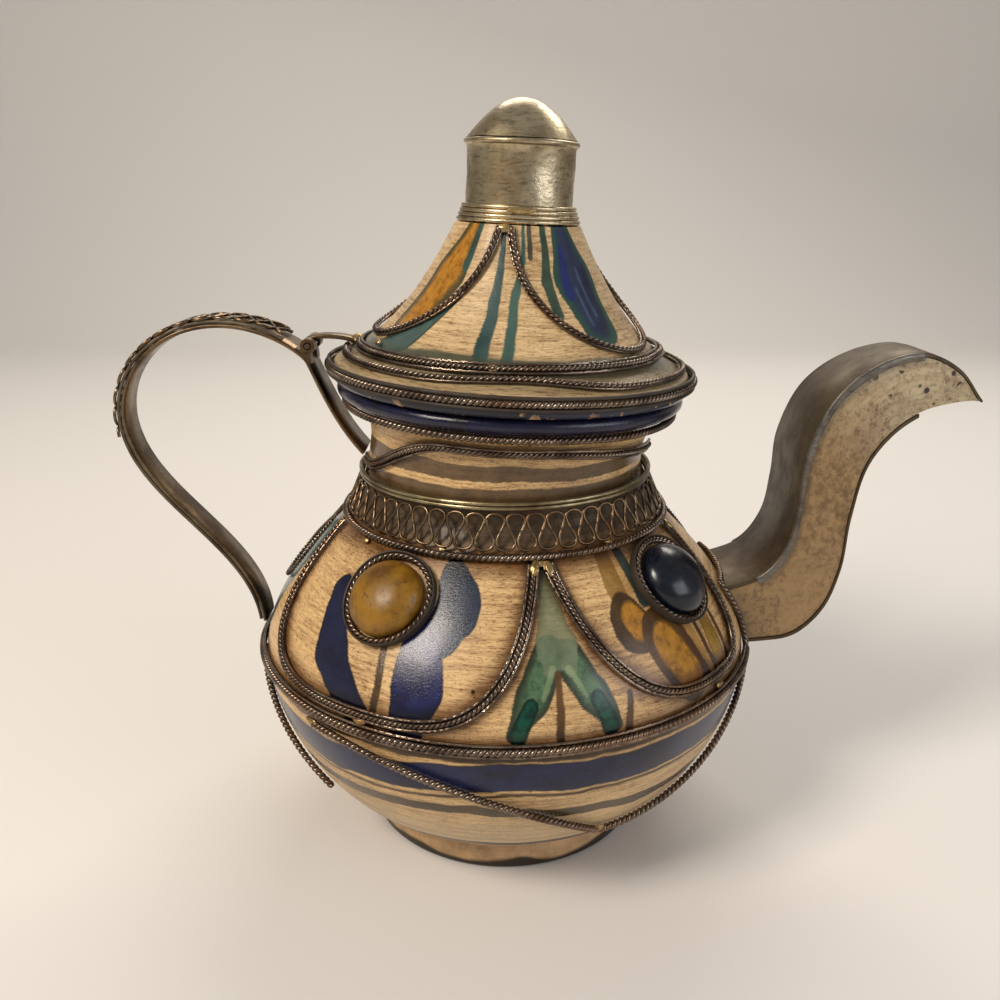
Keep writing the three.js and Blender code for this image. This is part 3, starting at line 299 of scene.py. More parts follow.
def place_on(radius_at, angle, height, lift=0.0):
    """Point at an angle (0 faces the viewer, 90 the spout) and a height on a turned form,
    with the direction away from the clay and the one that climbs it."""
    slope = (radius_at(height + 0.05) - radius_at(height - 0.05)) / 0.1
    outward = outward_at(math.radians(angle))
    normal = (outward - UP * slope).normalized()
    climb = (UP + outward * slope).normalized()
    return outward * radius_at(height) + UP * height + normal * lift, normal, climb


def tilted(direction, amount=1.0):
    return Matrix.Rotation(LEAN * amount, 3, "Y") @ direction


def lean(point, amount=1.0):
    """The potter's mouth tips towards the spout, and the lid with it."""
    pivot = UP * LEAN_PIVOT
    return tilted(point - pivot, amount) + pivot


def behind(angle):
    return 180 - angle


print("belly", 2 * BELLY_RADIUS, "mm wide, mouth at", LIP_TOP, "mm")

# %% Mesh helpers


def whole_turn(count):
    return [2 * math.pi * i / count for i in range(count)]


def worked_mesh(holder):
    """Mesh that an object's modifiers make."""
    graph = bpy.context.evaluated_depsgraph_get()
    work = holder.evaluated_get(graph)
    return bpy.data.meshes.new_from_object(work, preserve_all_data_layers=True, depsgraph=graph)


def finish_mesh(name, mesh, material, sharp=40):
    name = name.replace(" ", "_")
    mesh.name = name
    if material and not mesh.materials:
        mesh.materials.append(material)
    mesh.shade_smooth()
    mesh.set_sharp_from_angle(angle=math.radians(sharp))
    piece = bpy.data.objects.new(name, mesh)
    scene.collection.objects.link(piece)
    return piece


def mesh_from(name, points, faces, material, sharp=40):
    shape = bmesh.new()
    verts = [shape.verts.new(p * MM) for p in points]
    for face in faces:
        shape.faces.new([verts[i] for i in face])
    bmesh.ops.remove_doubles(shape, verts=shape.verts, dist=1e-6)
    bmesh.ops.dissolve_degenerate(shape, edges=shape.edges, dist=1e-7)
    bmesh.ops.delete(shape, geom=[e for e in shape.edges if not e.link_faces], context="EDGES")
    bmesh.ops.recalc_face_normals(shape, faces=shape.faces)
    mesh = bpy.data.meshes.new(name)
    shape.to_mesh(mesh)
    shape.free()
    return finish_mesh(name, mesh, material, sharp)


def loft(name, rings, material, endless=False, sharp=40):
    count = len(rings[0])
    points = [p for ring in rings for p in ring]
    faces = []
    for i in range(len(rings) if endless else len(rings) - 1):
        here, there = i * count, ((i + 1) % len(rings)) * count
        for j in range(count):
            k = (j + 1) % count
            faces.append((here + j, here + k, there + k, there + j))
    if not endless:
        faces.append(tuple(range(count - 1, -1, -1)))
        faces.append(tuple(len(points) - count + j for j in range(count)))
    return mesh_from(name, points, faces, material, sharp)


def turned(name, outline, material, sides=160, bend=None, sharp=40):
    """Closed outline of (radius, height) pairs turned about the pot's axis."""
    rings = []
    for turn in whole_turn(sides):
        ring = [Vector((r * math.cos(turn), r * math.sin(turn), z)) for r, z in outline]
        rings.append([bend(p) for p in ring] if bend else ring)
    return loft(name, rings, material, endless=True, sharp=sharp)


def dress(piece, body, slot, *nodes):
    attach(piece, body)
    if nodes:
        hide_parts(*nodes)
    print(f"{piece.name}: {len(piece.data.polygons)} faces on {body}")
    return piece


# %% [markdown]
# ## Glaze and bare clay
#
# The ground is unglazed or thinly glazed cream clay that took up tea and polish: fine brown
# streaks run round it as the wheel left them. Over it lie broad brush strokes of cobalt,
# green and amber, and dark bands. Each stroke is a rounded line that swells from one width
# to another, laid out on a flat map of the pot: distance round it against height. A shader
# group keeps that sum in one place, so that a leaf is only two points and two widths.

# %% Group: flat map of a turned form
map_group, given = new_group(
    "Flat map", {"Place": "Vector", "Millimetres per degree": 0.0, "Wobble": 0.0, "Lean": 0.0},
    {"Map": "Vector", "Height": 0.0, "Streak place": "Vector"})
parts = add_node("ShaderNodeSeparateXYZ", {0: given["Place"]})
front = number("ABSOLUTE", parts.outputs["Y"])
DEGREES_PER_RADIAN = 57.2958
angle = times(number("ARCTAN2", parts.outputs["X"], front), DEGREES_PER_RADIAN)
across = times(angle, given["Millimetres per degree"])
high = times(parts.outputs["Z"], 1000.0)
tip = times(smooth(high, 111.6, 122.5), given["Lean"])
high = number("ADD", high, times(times(parts.outputs["X"], 1000.0), tip))
drift = vector("SUBTRACT", noise(given["Place"], 70.0, 2.0, output="Color"), (0.5, 0.5, 0.5))
drift = vector("SCALE", drift, given["Wobble"])
flat = add_node("ShaderNodeCombineXYZ", {0: across, 1: high}).outputs[0]
flat = vector("ADD", flat, vector("MULTIPLY", drift, (1, 1, 0)))
streak = add_node("ShaderNodeCombineXYZ", {0: times(across, 0.06), 1: times(high, 1.1)})
add_node("NodeGroupOutput", {"Map": flat, "Height": high, "Streak place": streak.outputs[0]})

# %% Group: brush stroke
stroke_group, given = new_group(
    "Brush stroke", {"Map": "Vector", "From": "Vector", "To": "Vector", "From half width": 0.0,
                     "To half width": 0.0},
    {"Inside": 0.0})
to_here = vector("SUBTRACT", given["Map"], given["From"])
whole = vector("SUBTRACT", given["To"], given["From"])
squared = number("ADD", vector("DOT_PRODUCT", whole, whole), 0.0001)
share = within_one(number("DIVIDE", vector("DOT_PRODUCT", to_here, whole), squared))
away = vector("LENGTH", vector("SUBTRACT", to_here, vector("SCALE", whole, share)))
swell = number("SUBTRACT", given["To half width"], given["From half width"])
half = number("MULTIPLY_ADD", swell, share, given["From half width"])
add_node("NodeGroupOutput", {"Inside": number("SUBTRACT", half, away)})

# %% Group: streaked, crackled clay
clay_group, given = new_group(
    "Streaked clay", {"Place": "Vector", "Streak place": "Vector", "Light": "Color", "Dark": "Color",
                      "Speckle": 0.0},
    {"Colour": "Color", "Relief": 0.0, "Wander": 0.0, "Cloud": 0.0, "Fine cloud": 0.0})
long_streaks = noise(given["Streak place"], 1.0, 4.0, 0.6)
dashes = noise(vector("MULTIPLY", given["Streak place"], (5.5, 2.6, 1.0)), 1.3, 5.0, 0.7)
broad = noise(given["Place"], 38.0, 4.0, 0.6)
grit = noise(given["Place"], 1500.0, 3.0, 0.7)
streaks = times(smooth(long_streaks, 0.42, 0.66), 0.45)
threads = times(smooth(dashes, 0.49, 0.64), 0.66)
patches = times(smooth(broad, 0.4, 0.7), 0.3)
dark_share = within_one(number("ADD", number("ADD", streaks, threads), patches))
base = mix(dark_share, given["Light"], given["Dark"])
# Pale cream flecks between the streaks: partly the clay's own cream and partly painted highlight, where
# the glaze glints on its ridges.
pale = times(smooth(dashes, 0.36, 0.46, 0.5, 0.0), smooth(long_streaks, 0.36, 0.5, 1.0, 0.0))
base = mix(pale, base, "f0dcb4")
specks = times(smooth(grit, 0.56, 0.68), given["Speckle"])
base = mix(specks, base, "4d3620")
cracks = add_node("ShaderNodeTexVoronoi", {"Vector": given["Place"], "Scale": 170.0},
                  feature="DISTANCE_TO_EDGE")
lines = smooth(cracks.outputs["Distance"], 0.0, 0.02, 0.3, 0.0)
lines = times(lines, smooth(broad, 0.5, 0.62))
base = mix(lines, base, "6b4c2e")
relief = number("MULTIPLY_ADD", dashes, -0.7, times(grit, -0.35))
wander = number("SUBTRACT", dashes, 0.5)
cloud = noise(vector("MULTIPLY", given["Streak place"], (1.5, 0.082, 1.0)), 1.0, 5.0, 0.65)
fine = noise(vector("MULTIPLY", given["Streak place"], (6.7, 0.36, 1.0)), 1.0, 5.0, 0.65)
add_node("NodeGroupOutput", {
    "Colour": base, "Relief": relief, "Wander": wander, "Cloud": smooth(cloud, 0.35, 0.7),
    "Fine cloud": smooth(fine, 0.35, 0.7)})
print("shader groups:", [g.name for g in bpy.data.node_groups])

# %% Painting helpers


def group_node(group, inputs):
    return add_node("ShaderNodeGroup", inputs, node_tree=group)


MELT = 1.2


def strokes_inside(flat_map, scale, strokes):
    """How far inside the joined strokes each point lies. A stroke runs from one (angle,
    height, half width) to the next, and where strokes meet they melt together."""
    joined = None
    legs = [leg for stroke in strokes for leg in zip(stroke, stroke[1:])]
    for (angle_a, height_a, half_a), (angle_b, height_b, half_b) in legs:
        inside = group_node(stroke_group, {
            "Map": flat_map, "From": (angle_a * scale, height_a, 0), "To": (angle_b * scale, height_b, 0),
            "From half width": half_a, "To half width": half_b}).outputs[0]
        joined = inside if joined is None else number("SMOOTH_MAX", joined, inside, MELT)
    return joined


def painted(under, flat_map, scale, strokes, paint, edge=None, edge_width=0.9, cover=0.94):
    """Lays one shape of paint over what is under it, with a darker edge where the brush
    pooled, and returns the new colour."""
    inside = strokes_inside(flat_map, scale, strokes)
    share = smooth(inside, -0.2, 0.3)
    if edge:
        rim = smooth(inside, edge_width * 0.4, edge_width * 1.5, 0.85, 0.0)
        paint = mix(rim, paint, edge)
    return mix(times(share, cover), under, paint)


def brush_place(flat_map, clay):
    """The map, pushed about by the streaks, because a brush skips over the clay's ridges."""
    push = add_node("ShaderNodeCombineXYZ", {
        0: times(clay.outputs["Wander"], 1.6), 1: times(clay.outputs["Wander"], 1.1)})
    return vector("ADD", flat_map.outputs["Map"], push.outputs[0])


def mottled(place, thin, thick, scale, low=0.35, high=0.7):
    return mix(smooth(noise(place, scale, 5.0, 0.65), low, high), thin, thick)


def glaze_roughness(surface):
    """Paint is glassy and bare clay is dry, and paint is the darker of the two."""
    light = add_node("ShaderNodeRGBToBW", {0: surface}).outputs[0]
    return smooth(light, 0.02, 0.3, 0.16, 0.44)


# %% Petal rule
ROPE, SEAT = 1.05, 0.3
COLLAR_ROPE_HEIGHT = 97.4
STRAND_HALF = 1.65
PETAL_BOTTOM = EQUATOR + BELT_HALF + STRAND_HALF + SEAT + 0.1
PETAL_TOP = COLLAR_ROPE_HEIGHT - ROPE - SEAT
WIDE, NARROW, BY_HANDLE, BY_SPOUT = 42, 17.5, -33.5, 55
FULL_PETAL, LEAN_PETAL, PETAL_RAISE = 4.4, 3.4, 1.4


LEFT_PETAL = (BY_HANDLE, WIDE, WIDE, FULL_PETAL, 0)
RIGHT_PETAL = (BY_SPOUT, WIDE, NARROW, LEAN_PETAL, PETAL_RAISE)


def petal_point(shape, spread):
    """Angle and height of a festoon's rope, from one end (-1) over its low middle to the other."""
    centre, left, right, fullness, raised = shape
    half = left if spread < 0 else right
    return centre + spread * half, lerp(PETAL_BOTTOM + raised, PETAL_TOP, abs(spread) ** fullness)


# %% Body glaze
glaze, shader = new_material("Painted earthenware")
place = own_place()
PER_DEGREE = 1.1
flat_map = group_node(map_group, {"Place": place, "Millimetres per degree": PER_DEGREE, "Wobble": 2.6,
                                  "Lean": math.tan(LEAN)})
height = flat_map.outputs["Height"]
clay = group_node(clay_group, {
    "Place": place, "Streak place": flat_map.outputs["Streak place"], "Light": "d8b47e",
    "Dark": "7a5330", "Speckle": 0.6})
surface = mix(smooth(height, 20.0, 50.0, 0.42, 0.0), clay.outputs["Colour"], "cbb897")
brush = brush_place(flat_map, clay)


def paint(strokes, thin, thick, edge=None, edge_width=0.9, cloud="Cloud", cover=0.99):
    """Brush-laid colour is never even: it pools darker in cloudy patches."""
    global surface
    layer = mix(clay.outputs[cloud], thin, thick)
    surface = painted(surface, brush, PER_DEGREE, strokes, layer, edge, edge_width, cover)


def dirt_and_shade(strokes, reach, strength):
    """Brown beside a rope, partly dirt and partly painted shade where the rope stands on the clay, fading
    away from it.
    """
    global surface
    inside = strokes_inside(brush, PER_DEGREE, strokes)
    surface = mix(smooth(inside, -reach, 0.6, 0.0, strength), surface, "7a5a38", "MULTIPLY")


def finish_glaze(rough, dent_scale, dent_depth):
    """Glaze is a thin clear coat over all, dented where the potter's fingers pressed."""
    dents = number("MULTIPLY_ADD", noise(place, dent_scale, 2.0, 0.5), dent_depth, clay.outputs["Relief"])
    feed(shader, {"Base Color": surface, "Roughness": rough, "Normal": bumped(dents, 0.00016),
                  "Specular IOR Level": 0.36, "Coat Weight": 0.1, "Coat Roughness": 0.12})


def along_round(height, half):
    """One stroke all the way round at a height."""
    return [((-90, height, half), (90, height, half))]


# Shoulder, by the handle: a teal patch, a navy leaf, slate lobes, a blue leaf and a stem.
paint([((-90, 90, 12), (-90, 64, 13))], "54706c", "22383a", "1a2a24")
paint([((-50, 86, 3.2), (-43, 74, 5.4), (-31, 61, 3.4))], "171e3e", "0b0f28", "0a0d20", 0.6)
paint([((-15.4, 93.4, 4.2), (-14, 92, 4.6)), ((-12.6, 88.4, 6.4), (-12, 88, 6.4)),
       ((-14.8, 84, 5.4), (-15.2, 83, 5.4))], "1f2c42", "131c2e", "1c2230", 0.6)
paint([((-19.6, 80, 5.4), (-18.9, 71, 6.4), (-20, 61, 4))], "192252", "0b0f30", "0a0e26", 0.6)
paint([((-28.3, 79, 1.0), (-27.4, 60, 1.1))], "5f4930", "3f2e1c")
paint([((-6.8, 71.4, 0.45), (-6.7, 71.3, 0.45))], "1b1410", "1b1410")
# Between the festoons: two leaves with emerald tips, a grey-green wash over their tops, a brown stem.
paint([((9.6, 79, 4.2), (5.2, 70, 4.0), (1.9, 62, 2)), ((14, 78, 4.2), (18.3, 70, 4.0), (22.2, 62, 2))],
      "4c6d4e", "1c4433", "10211a", 1.6, "Fine cloud", cover=0.96)
paint([((10.9, 95, 1.6), (11.6, 81, 5.2)), ((10.6, 81, 4.4), (9.4, 76, 1.6)),
       ((12.8, 81, 4.4), (14.2, 76, 1.6))], "6f7a5e", "43563f", cover=0.85)
# Pale green strokes down the middle of each leaf: painted highlights.
paint([((10.2, 76, 0.9), (7.6, 70, 0.5)), ((13.6, 76, 0.9), (16.6, 70, 0.5))],
      "9fab82", "64805a", cover=0.4)
paint([((4.9, 68.5, 1.9), (2.4, 61.5, 2.2)), ((19.0, 69, 1.9), (21.4, 61.5, 2.2))],
      "0c4a38", "06221b", "0a1c15", 0.8, "Fine cloud")
paint([((11.1, 75, 0.8), (10.6, 59, 1.0)), ((26, 69, 0.8), (25.1, 59, 1))], "5f4326", "3c2914")
# Shoulder, by the spout: amber blossom and leaves drawn round in brown.
paint([((36, 94, 5), (44, 80, 8), (54, 66, 9))], "b4853c", "8a5f26", cover=0.5)
paint([((32.6, 97, 3), (31.8, 89, 3.4))], "8a6626", "5e4518", cover=0.85)
paint([((39.2, 96, 2.2), (38.8, 86, 1.8))], "3a4843", "222d2a")
paint([((32.1, 82.6, 6.1), (32.6, 81.6, 6.1))], "4d371a", "332310")
paint([((33.4, 83.2, 3.9), (34, 81.8, 3.9))], "b07a1a", "7d5212", "5f431a", 0.5, "Fine cloud")
paint([((39.6, 77, 7), (44.5, 68, 7))], "54391a", "3a2812")
paint([((40, 76, 4.8), (44.4, 67, 4.2))], "ac7718", "754f12", "5f431a", 0.5, "Fine cloud")
paint([((47.4, 80, 2.6), (50.6, 67, 1.8))], "a67b3c", "7c5a28", cover=0.85)
paint([((45.4, 81, 1.1), (49.4, 65, 1.3)), ((51.6, 81, 0.8), (53, 65, 0.9)),
       ((60.6, 82, 0.8), (59.4, 65, 0.9))], "4c2f17", "352010")
paint([((56.8, 80, 2.4), (55.8, 67, 2.6))], "a88024", "7a5a16", "553a18", 0.6)
# Bands: cobalt under the belt, brown stripes below it, and a dark line over the foot, partly olive paint
# and partly painted shadow of the fold.
paint([((-90, 49, 4.9), (-38, 46.6, 4.6), (-3, 50.2, 4.5), (30, 49.4, 4.5), (90, 49.4, 4.7))],
      "161f44", "090d20", "241e1a", 0.45)
paint([((-90, 35.6, 1.6), (-38, 35.8, 1.8), (-7, 38.2, 1.7), (32, 34.6, 1.8), (90, 36, 1.7))],
      "54432c", "3a2c1b")
paint([((-90, 41.8, 0.6), (-30, 40.9, 0.6), (0, 44.1, 0.6), (90, 43.2, 0.6))], "5f4a2e", "3c2e1c")
paint(along_round(55.6, 0.8), "5c4629", "3c2e1b")
# Dark line where the belly folds into the foot: olive paint with painted shadow of the fold.
paint(along_round(18.4, 1.8), "463b24", "2a2413")
paint([((-90, 23.4, 0.4), (90, 22.6, 0.4))], "8a7352", "6b5538", cover=0.5)
# Neck: brown stripes with a cream line, and a cobalt mouth.
paint([((-90, 117.8, 2.1), (90, 117.8, 2.1)), ((-90, 112.0, 2.0), (90, 112.0, 2.0))],
      "54402a", "36281a", cover=0.9)
paint(along_round(134, 4.9), "0e1436", "060818", "07091a", 0.5)
# Painted shade and dirt: brown beside the festoons, the belt and the collar rope.
spreads = (-1, -0.93, -0.8, -0.6, -0.3, 0.3, 0.6, 0.8, 0.93, 1)
for petal in (LEFT_PETAL, RIGHT_PETAL):
    dirt_and_shade([[(*petal_point(petal, spread), 1.5) for spread in spreads]], 4.0, 0.85)
dirt_and_shade(along_round(EQUATOR, 2.0), 3.6, 0.8)
dirt_and_shade(along_round(COLLAR_ROPE_HEIGHT, 1.2), 4.6, 0.9)
foot_share = smooth(height, 13.2, 14.6, 1.0, 0.0)
surface = mix(times(foot_share, 0.6), surface, mix(clay.outputs["Cloud"], "c2976a", "7c5834"))
wave = noise(place, 45.0, 2.0, 0.5)
bottom = smooth(number("MULTIPLY_ADD", wave, -6.0, height), -0.9, 0.5, 1.0, 0.0)
surface = mix(bottom, surface, "2a1f15")
# Painted shade and brown dirt darken the corner behind the collar, where the lattice stands off the clay.
corner = times(smooth(height, 97.0, 102.0), smooth(height, 108.0, 113.0, 1.0, 0.0))
surface = mix(times(corner, 0.9), surface, mix(clay.outputs["Fine cloud"], "33261a", "1a130d"))
inner = attribute("inside")
surface = mix(inner, surface, mix(clay.outputs["Cloud"], "b98f61", "8f6842"))
finish_glaze(number("MAXIMUM", glaze_roughness(surface), times(corner, 0.7)), 55.0, 5.0)
print("body glaze has", len(tree.nodes), "nodes")

# %% [markdown]
# ## The body
#
# A fine outline, turned, gives the round that the solid's flat sides only hint at. The neck
# is then bent to the potter's lean, and the hole behind the spout is bored with a cylinder.

# %% Pot body


def arc(centre, radius, start, end, count):
    turns = [math.radians(lerp(start, end, i / count)) for i in range(count + 1)]
    return [(centre[0] + radius * math.cos(turn), centre[1] + radius * math.sin(turn)) for turn in turns]


outside = []
for i in range(1, 25):
    turn = (i / 24) * math.pi / 2
    z = BELLY_HEIGHT - (BELLY_HEIGHT - GROOVE_HEIGHT) * math.cos(turn) ** (2 / BELLY_FULLNESS)
    outside.append((body_radius(z), z))
heights = [lerp(BELLY_HEIGHT, SHOULDER_HEIGHT, i / 24) for i in range(1, 25)]
heights += [lerp(SHOULDER_HEIGHT, CORNER_HEIGHT, i / 8) for i in range(1, 9)]
heights += [109, 112, 115, 118.5, 120, 122, 124, 126, 128, 129.2, 130]
outside += [(body_radius(z), z) for z in heights]
lip = arc((LIP_RADIUS - 2, FLARE_HEIGHT + 2.6), 2, -60, 90, 7)
inside = [(MOUTH_RADIUS + 1, LIP_TOP), (MOUTH_RADIUS, LIP_TOP - 0.8),
          (MOUTH_RADIUS - 0.4, FLARE_HEIGHT + 1)]
inside += [(NECK_RADIUS - WALL + 4 * part**2, lerp(NECK_HEIGHT + 1, FLARE_HEIGHT, part))
           for part in (0.75, 0.5, 0.25, 0)]
inside += [(CORNER_RADIUS - WALL, CORNER_HEIGHT), (SHOULDER_RADIUS - WALL * 1.15, SHOULDER_HEIGHT - 2)]
for i in range(1, 12):
    z = lerp(SHOULDER_HEIGHT - 6, GROOVE_HEIGHT + 4, i / 11)
    inside.append((body_radius(z) - WALL * 1.35, z + 1.5))
inside += [(FOOT_RADIUS * 0.6, FLOOR + 1), (0, FLOOR)]
foot = [(0, 0), (FOOT_RADIUS - 1.2, 0)] + arc((FOOT_RADIUS - 1.2, 1.2), 1.2, -80, 0, 4)
foot += [(FOOT_RADIUS - 0.6, GROOVE_HEIGHT - 1.6), (GROOVE_RADIUS + 0.5, GROOVE_HEIGHT - 0.6),
         (GROOVE_RADIUS, GROOVE_HEIGHT)]


def lean_mouth(point):
    return lean(point, ease(point.z, 111.6, NECK_HEIGHT + 4))


pot = turned("pot", foot + outside + lip + inside, glaze, bend=lean_mouth, sharp=50)


def bored(piece, cutter):
    cut = piece.modifiers.new("cut", "BOOLEAN")
    cut.object = cutter
    cut.operation = "DIFFERENCE"
    cut.solver = "EXACT"
    shape = worked_mesh(piece)
    piece.modifiers.clear()
    piece.data = shape
    return piece


HOLE_RADIUS, HOLE_HEIGHT = 6, 68
drill = loft("drill", [[
    Vector((x, HOLE_RADIUS * math.cos(turn), HOLE_HEIGHT + HOLE_RADIUS * math.sin(turn)))
    for turn in whole_turn(32)] for x in (54, 90)], None)
bored(pot, drill)
bpy.data.objects.remove(drill)
wall_side = pot.data.attributes.new("inside", "FLOAT", "POINT")
for vertex, value in zip(pot.data.vertices, wall_side.data):
    radius = math.hypot(vertex.co.x, vertex.co.y) / MM
    height_mm = vertex.co.z / MM
    value.value = 1.0 if 4 < height_mm < 133.5 and radius < body_radius(min(height_mm, 130)) - 3 else 0.0
dress(pot, "pot", "glazed_body", "pot_body")

# %% [markdown]
# ## Old nickel silver
#
# All the wire and sheet is a white alloy that tarnishes yellow-brown. Hands keep what stands
# proud bright, and dirt stays in the grooves, where it is not metal at all. One group makes
# that from a measure of how proud a point is, so ropes, sheet and solder all age alike.

# %% Group: old metal
metal_group, given = new_group(
    "Old metal", {"Place": "Vector", "Proud": 0.0, "Bright": "Color", "Tarnish": "Color", "Dirt": 0.0,
                  "Scuffs": 0.0},
    {"Colour": "Color", "Metallic": 0.0, "Roughness": 0.0, "Relief": 0.0})
spot = given["Place"]
cloudy = noise(spot, 95.0, 5.0, 0.62)
warm = noise(spot, 33.0, 3.0, 0.5)
pitted = noise(spot, 1100.0, 3.0, 0.6)
tarnish = smooth(cloudy, 0.38, 0.66)
dirt = times(smooth(given["Proud"], 0.5, 0.92, 1.0, 0.0), given["Dirt"])
dirt = within_one(number("ADD", dirt, times(smooth(cloudy, 0.6, 0.75), 0.18)))
base = mix(tarnish, given["Bright"], given["Tarnish"])
base = mix(smooth(warm, 0.48, 0.7, 0.0, 0.3), base, "8a6038")
brushed = noise(vector("MULTIPLY", spot, (1.0, 1.0, 4.5)), 330.0, 5.0, 0.72)
scuffs = times(smooth(brushed, 0.5, 0.64), given["Scuffs"])
base = mix(scuffs, base, "3d3123")
base = mix(dirt, base, "2c2219")
metallic = within_one(number("MULTIPLY_ADD", dirt, -0.75, 1.0))
rough = number("MULTIPLY_ADD", tarnish, 0.14, number("MULTIPLY_ADD", dirt, 0.3, 0.26))
relief = number("MULTIPLY_ADD", pitted, 0.6, cloudy)
add_node("NodeGroupOutput", {"Colour": base, "Metallic": metallic, "Roughness": rough, "Relief": relief})

# %% Metals


def old_metal(name, bright, tarnish, dirt=0.9, proud=None, depth=0.0001, scuffs=0.2):
    material, shader = new_material(name)
    place = own_place()
    metal = group_node(metal_group, {
        "Place": place, "Proud": proud or attribute("proud"), "Bright": bright, "Tarnish": tarnish,
        "Dirt": dirt, "Scuffs": scuffs}).outputs
    feed(shader, {"Base Color": metal["Colour"], "Metallic": metal["Metallic"],
                  "Roughness": metal["Roughness"], "Normal": bumped(metal["Relief"], depth, 0.6)})
    return material


rope_metal = old_metal("Twisted wire", "857668", "4f4138", 0.9)
wire_metal = old_metal("Worn wire", "8f8268", "5a4b3c", 0.6)
ring_metal = old_metal("Collar wire", "a59a7a", "6d6248", 0.5, 0.85)
scroll_metal = old_metal("Scroll wire", "7c6a52", "4d3d2e", 0.8)
strap_metal = old_metal("Strap sheet", "7b6950", "4d3c2b", 0.3, 0.8, scuffs=0.5)
finial_metal = old_metal("Finial sheet", "cfc0a0", "98886a", 0.2, 0.85, 0.0002, 0.5)
strip_metal = old_metal("Spout sheet", "766644", "54442a", 0.85, 0.64, scuffs=0.4)
trim_metal = old_metal("Spout edge", "8f8a80", "5c564c", 0.8, 0.72, scuffs=0.5)
solder_metal = old_metal("Solder", "c0a878", "8c6c3c", 0.4, 0.8, 0.0003)
print("metals:", [m.name for m in bpy.data.materials if "Place" not in m.name][3:])

# %% [markdown]
# ## Rope from two wires
#
# A jeweller's rope is two round wires twisted together. It could be bent from a long model
# of a rope, but each bend would stretch it. Geometry Nodes can instead wind the two wires
# round any path: the path is cut into even steps, and each step shifts sideways by the sine
# and cosine of the turn that it has reached. A second pair of plain wires may run beside it.

# %% Tree: twisted rope


def core_value(name):
    return add_node("GeometryNodeInputNamedAttribute", {"Name": name},
                    data_type="FLOAT_VECTOR").outputs[0]


def stored(work, name, value, kind):
    inputs = {"Geometry": work, "Name": name, "Value": value}
    return add_node("GeometryNodeStoreNamedAttribute", inputs, data_type=kind, domain="POINT").outputs[0]


def even_path(steps):
    """Path cut into even steps, with the directions along, across and away at each."""
    path = add_node("GeometryNodeMeshToCurve", {0: given["Path"]}).outputs[0]
    count = add_node("FunctionNodeFloatToInt", {0: steps}).outputs[0]
    path = add_node("GeometryNodeResampleCurve", {"Curve": path, "Count": count}, mode="COUNT").outputs[0]
    path = stored(path, "core", add_node("GeometryNodeInputPosition").outputs[0], "FLOAT_VECTOR")
    along = add_node("GeometryNodeInputTangent").outputs[0]
    across = vector("NORMALIZE", vector("CROSS_PRODUCT", along, core_value("outward")))
    away = vector("CROSS_PRODUCT", across, along)
    return path, along, across, away, add_node("GeometryNodeSplineParameter").outputs["Factor"]


def drawn_wire(path, offset, radius, sides):
    moved = add_node("GeometryNodeSetPosition", {"Geometry": path, "Offset": offset}).outputs[0]
    profile = add_node("GeometryNodeCurvePrimitiveCircle",
                       {"Resolution": sides, "Radius": radius}).outputs[0]
    inputs = {"Curve": moved, "Profile Curve": profile, "Fill Caps": True}
    return add_node("GeometryNodeCurveToMesh", inputs).outputs[0]


def finish_tree(wires, deepest):
    """Joins the wires and notes how proud of the path each point stands, for the tarnish."""
    joined = add_node("GeometryNodeJoinGeometry")
    for wire in wires:
        tree.links.new(wire, joined.inputs[0])
    core = core_value("core")
    gap = vector("LENGTH", vector("SUBTRACT", add_node("GeometryNodeInputPosition").outputs[0], core))
    work = stored(joined.outputs[0], "proud", number("DIVIDE", gap, deepest), "FLOAT")
    for name in ("core", "outward"):
        work = add_node("GeometryNodeRemoveAttribute", {"Geometry": work, "Name": name}).outputs[0]
    work = add_node("GeometryNodeRealizeInstances", {"Geometry": work}).outputs[0]
    work = add_node("GeometryNodeSetMaterial", {"Geometry": work, "Material": given["Metal"]}).outputs[0]
    add_node("NodeGroupOutput", {"Work": work})


rope_tree, given = new_group(
    "Twisted rope", {"Path": "Geometry", "Turns": 10.0, "Rope radius": 0.001, "Side wire radius": 0.0001,
                     "Side distance": 0.0, "Side drop": 0.0, "Metal": "Material"},
    {"Work": "Geometry"}, "GeometryNodeTree")
STEPS_A_TURN, SWING_SHARE, WIRE_SHARE = 10.0, 0.46, 0.54
path, along, across, away, part = even_path(times(given["Turns"], STEPS_A_TURN))
phase = times(times(part, given["Turns"]), 2 * math.pi)
wires = []
for half_turn in (0.0, math.pi):
    angle = number("ADD", phase, half_turn)
    swing = times(given["Rope radius"], SWING_SHARE)
    aside = vector("SCALE", across, times(number("COSINE", angle), swing))
    lifted = vector("SCALE", away, times(number("SINE", angle), swing))
    thick = times(given["Rope radius"], WIRE_SHARE)
    wires.append(drawn_wire(path, vector("ADD", aside, lifted), thick, 8))
dropped = vector("SCALE", away, times(given["Side drop"], -1.0))
for side in (-1.0, 1.0):
    aside = vector("SCALE", across, times(given["Side distance"], side))
    wires.append(drawn_wire(path, vector("ADD", aside, dropped), given["Side wire radius"], 6))
finish_tree(wires, given["Rope radius"])
print(rope_tree.name, "has", len(tree.nodes), "nodes")

# %% [markdown]
# ## Scroll from one wire
#
# The collar and the handle carry the same ornament: one wire that swings from side to side
# and curls back on itself at each end, so that it reads as a row of omegas. Two sums make
# it. The swing is a cosine across the band, and a sine of twice the speed along the band
# makes the wire run forward at the crossings and backward at the turns.

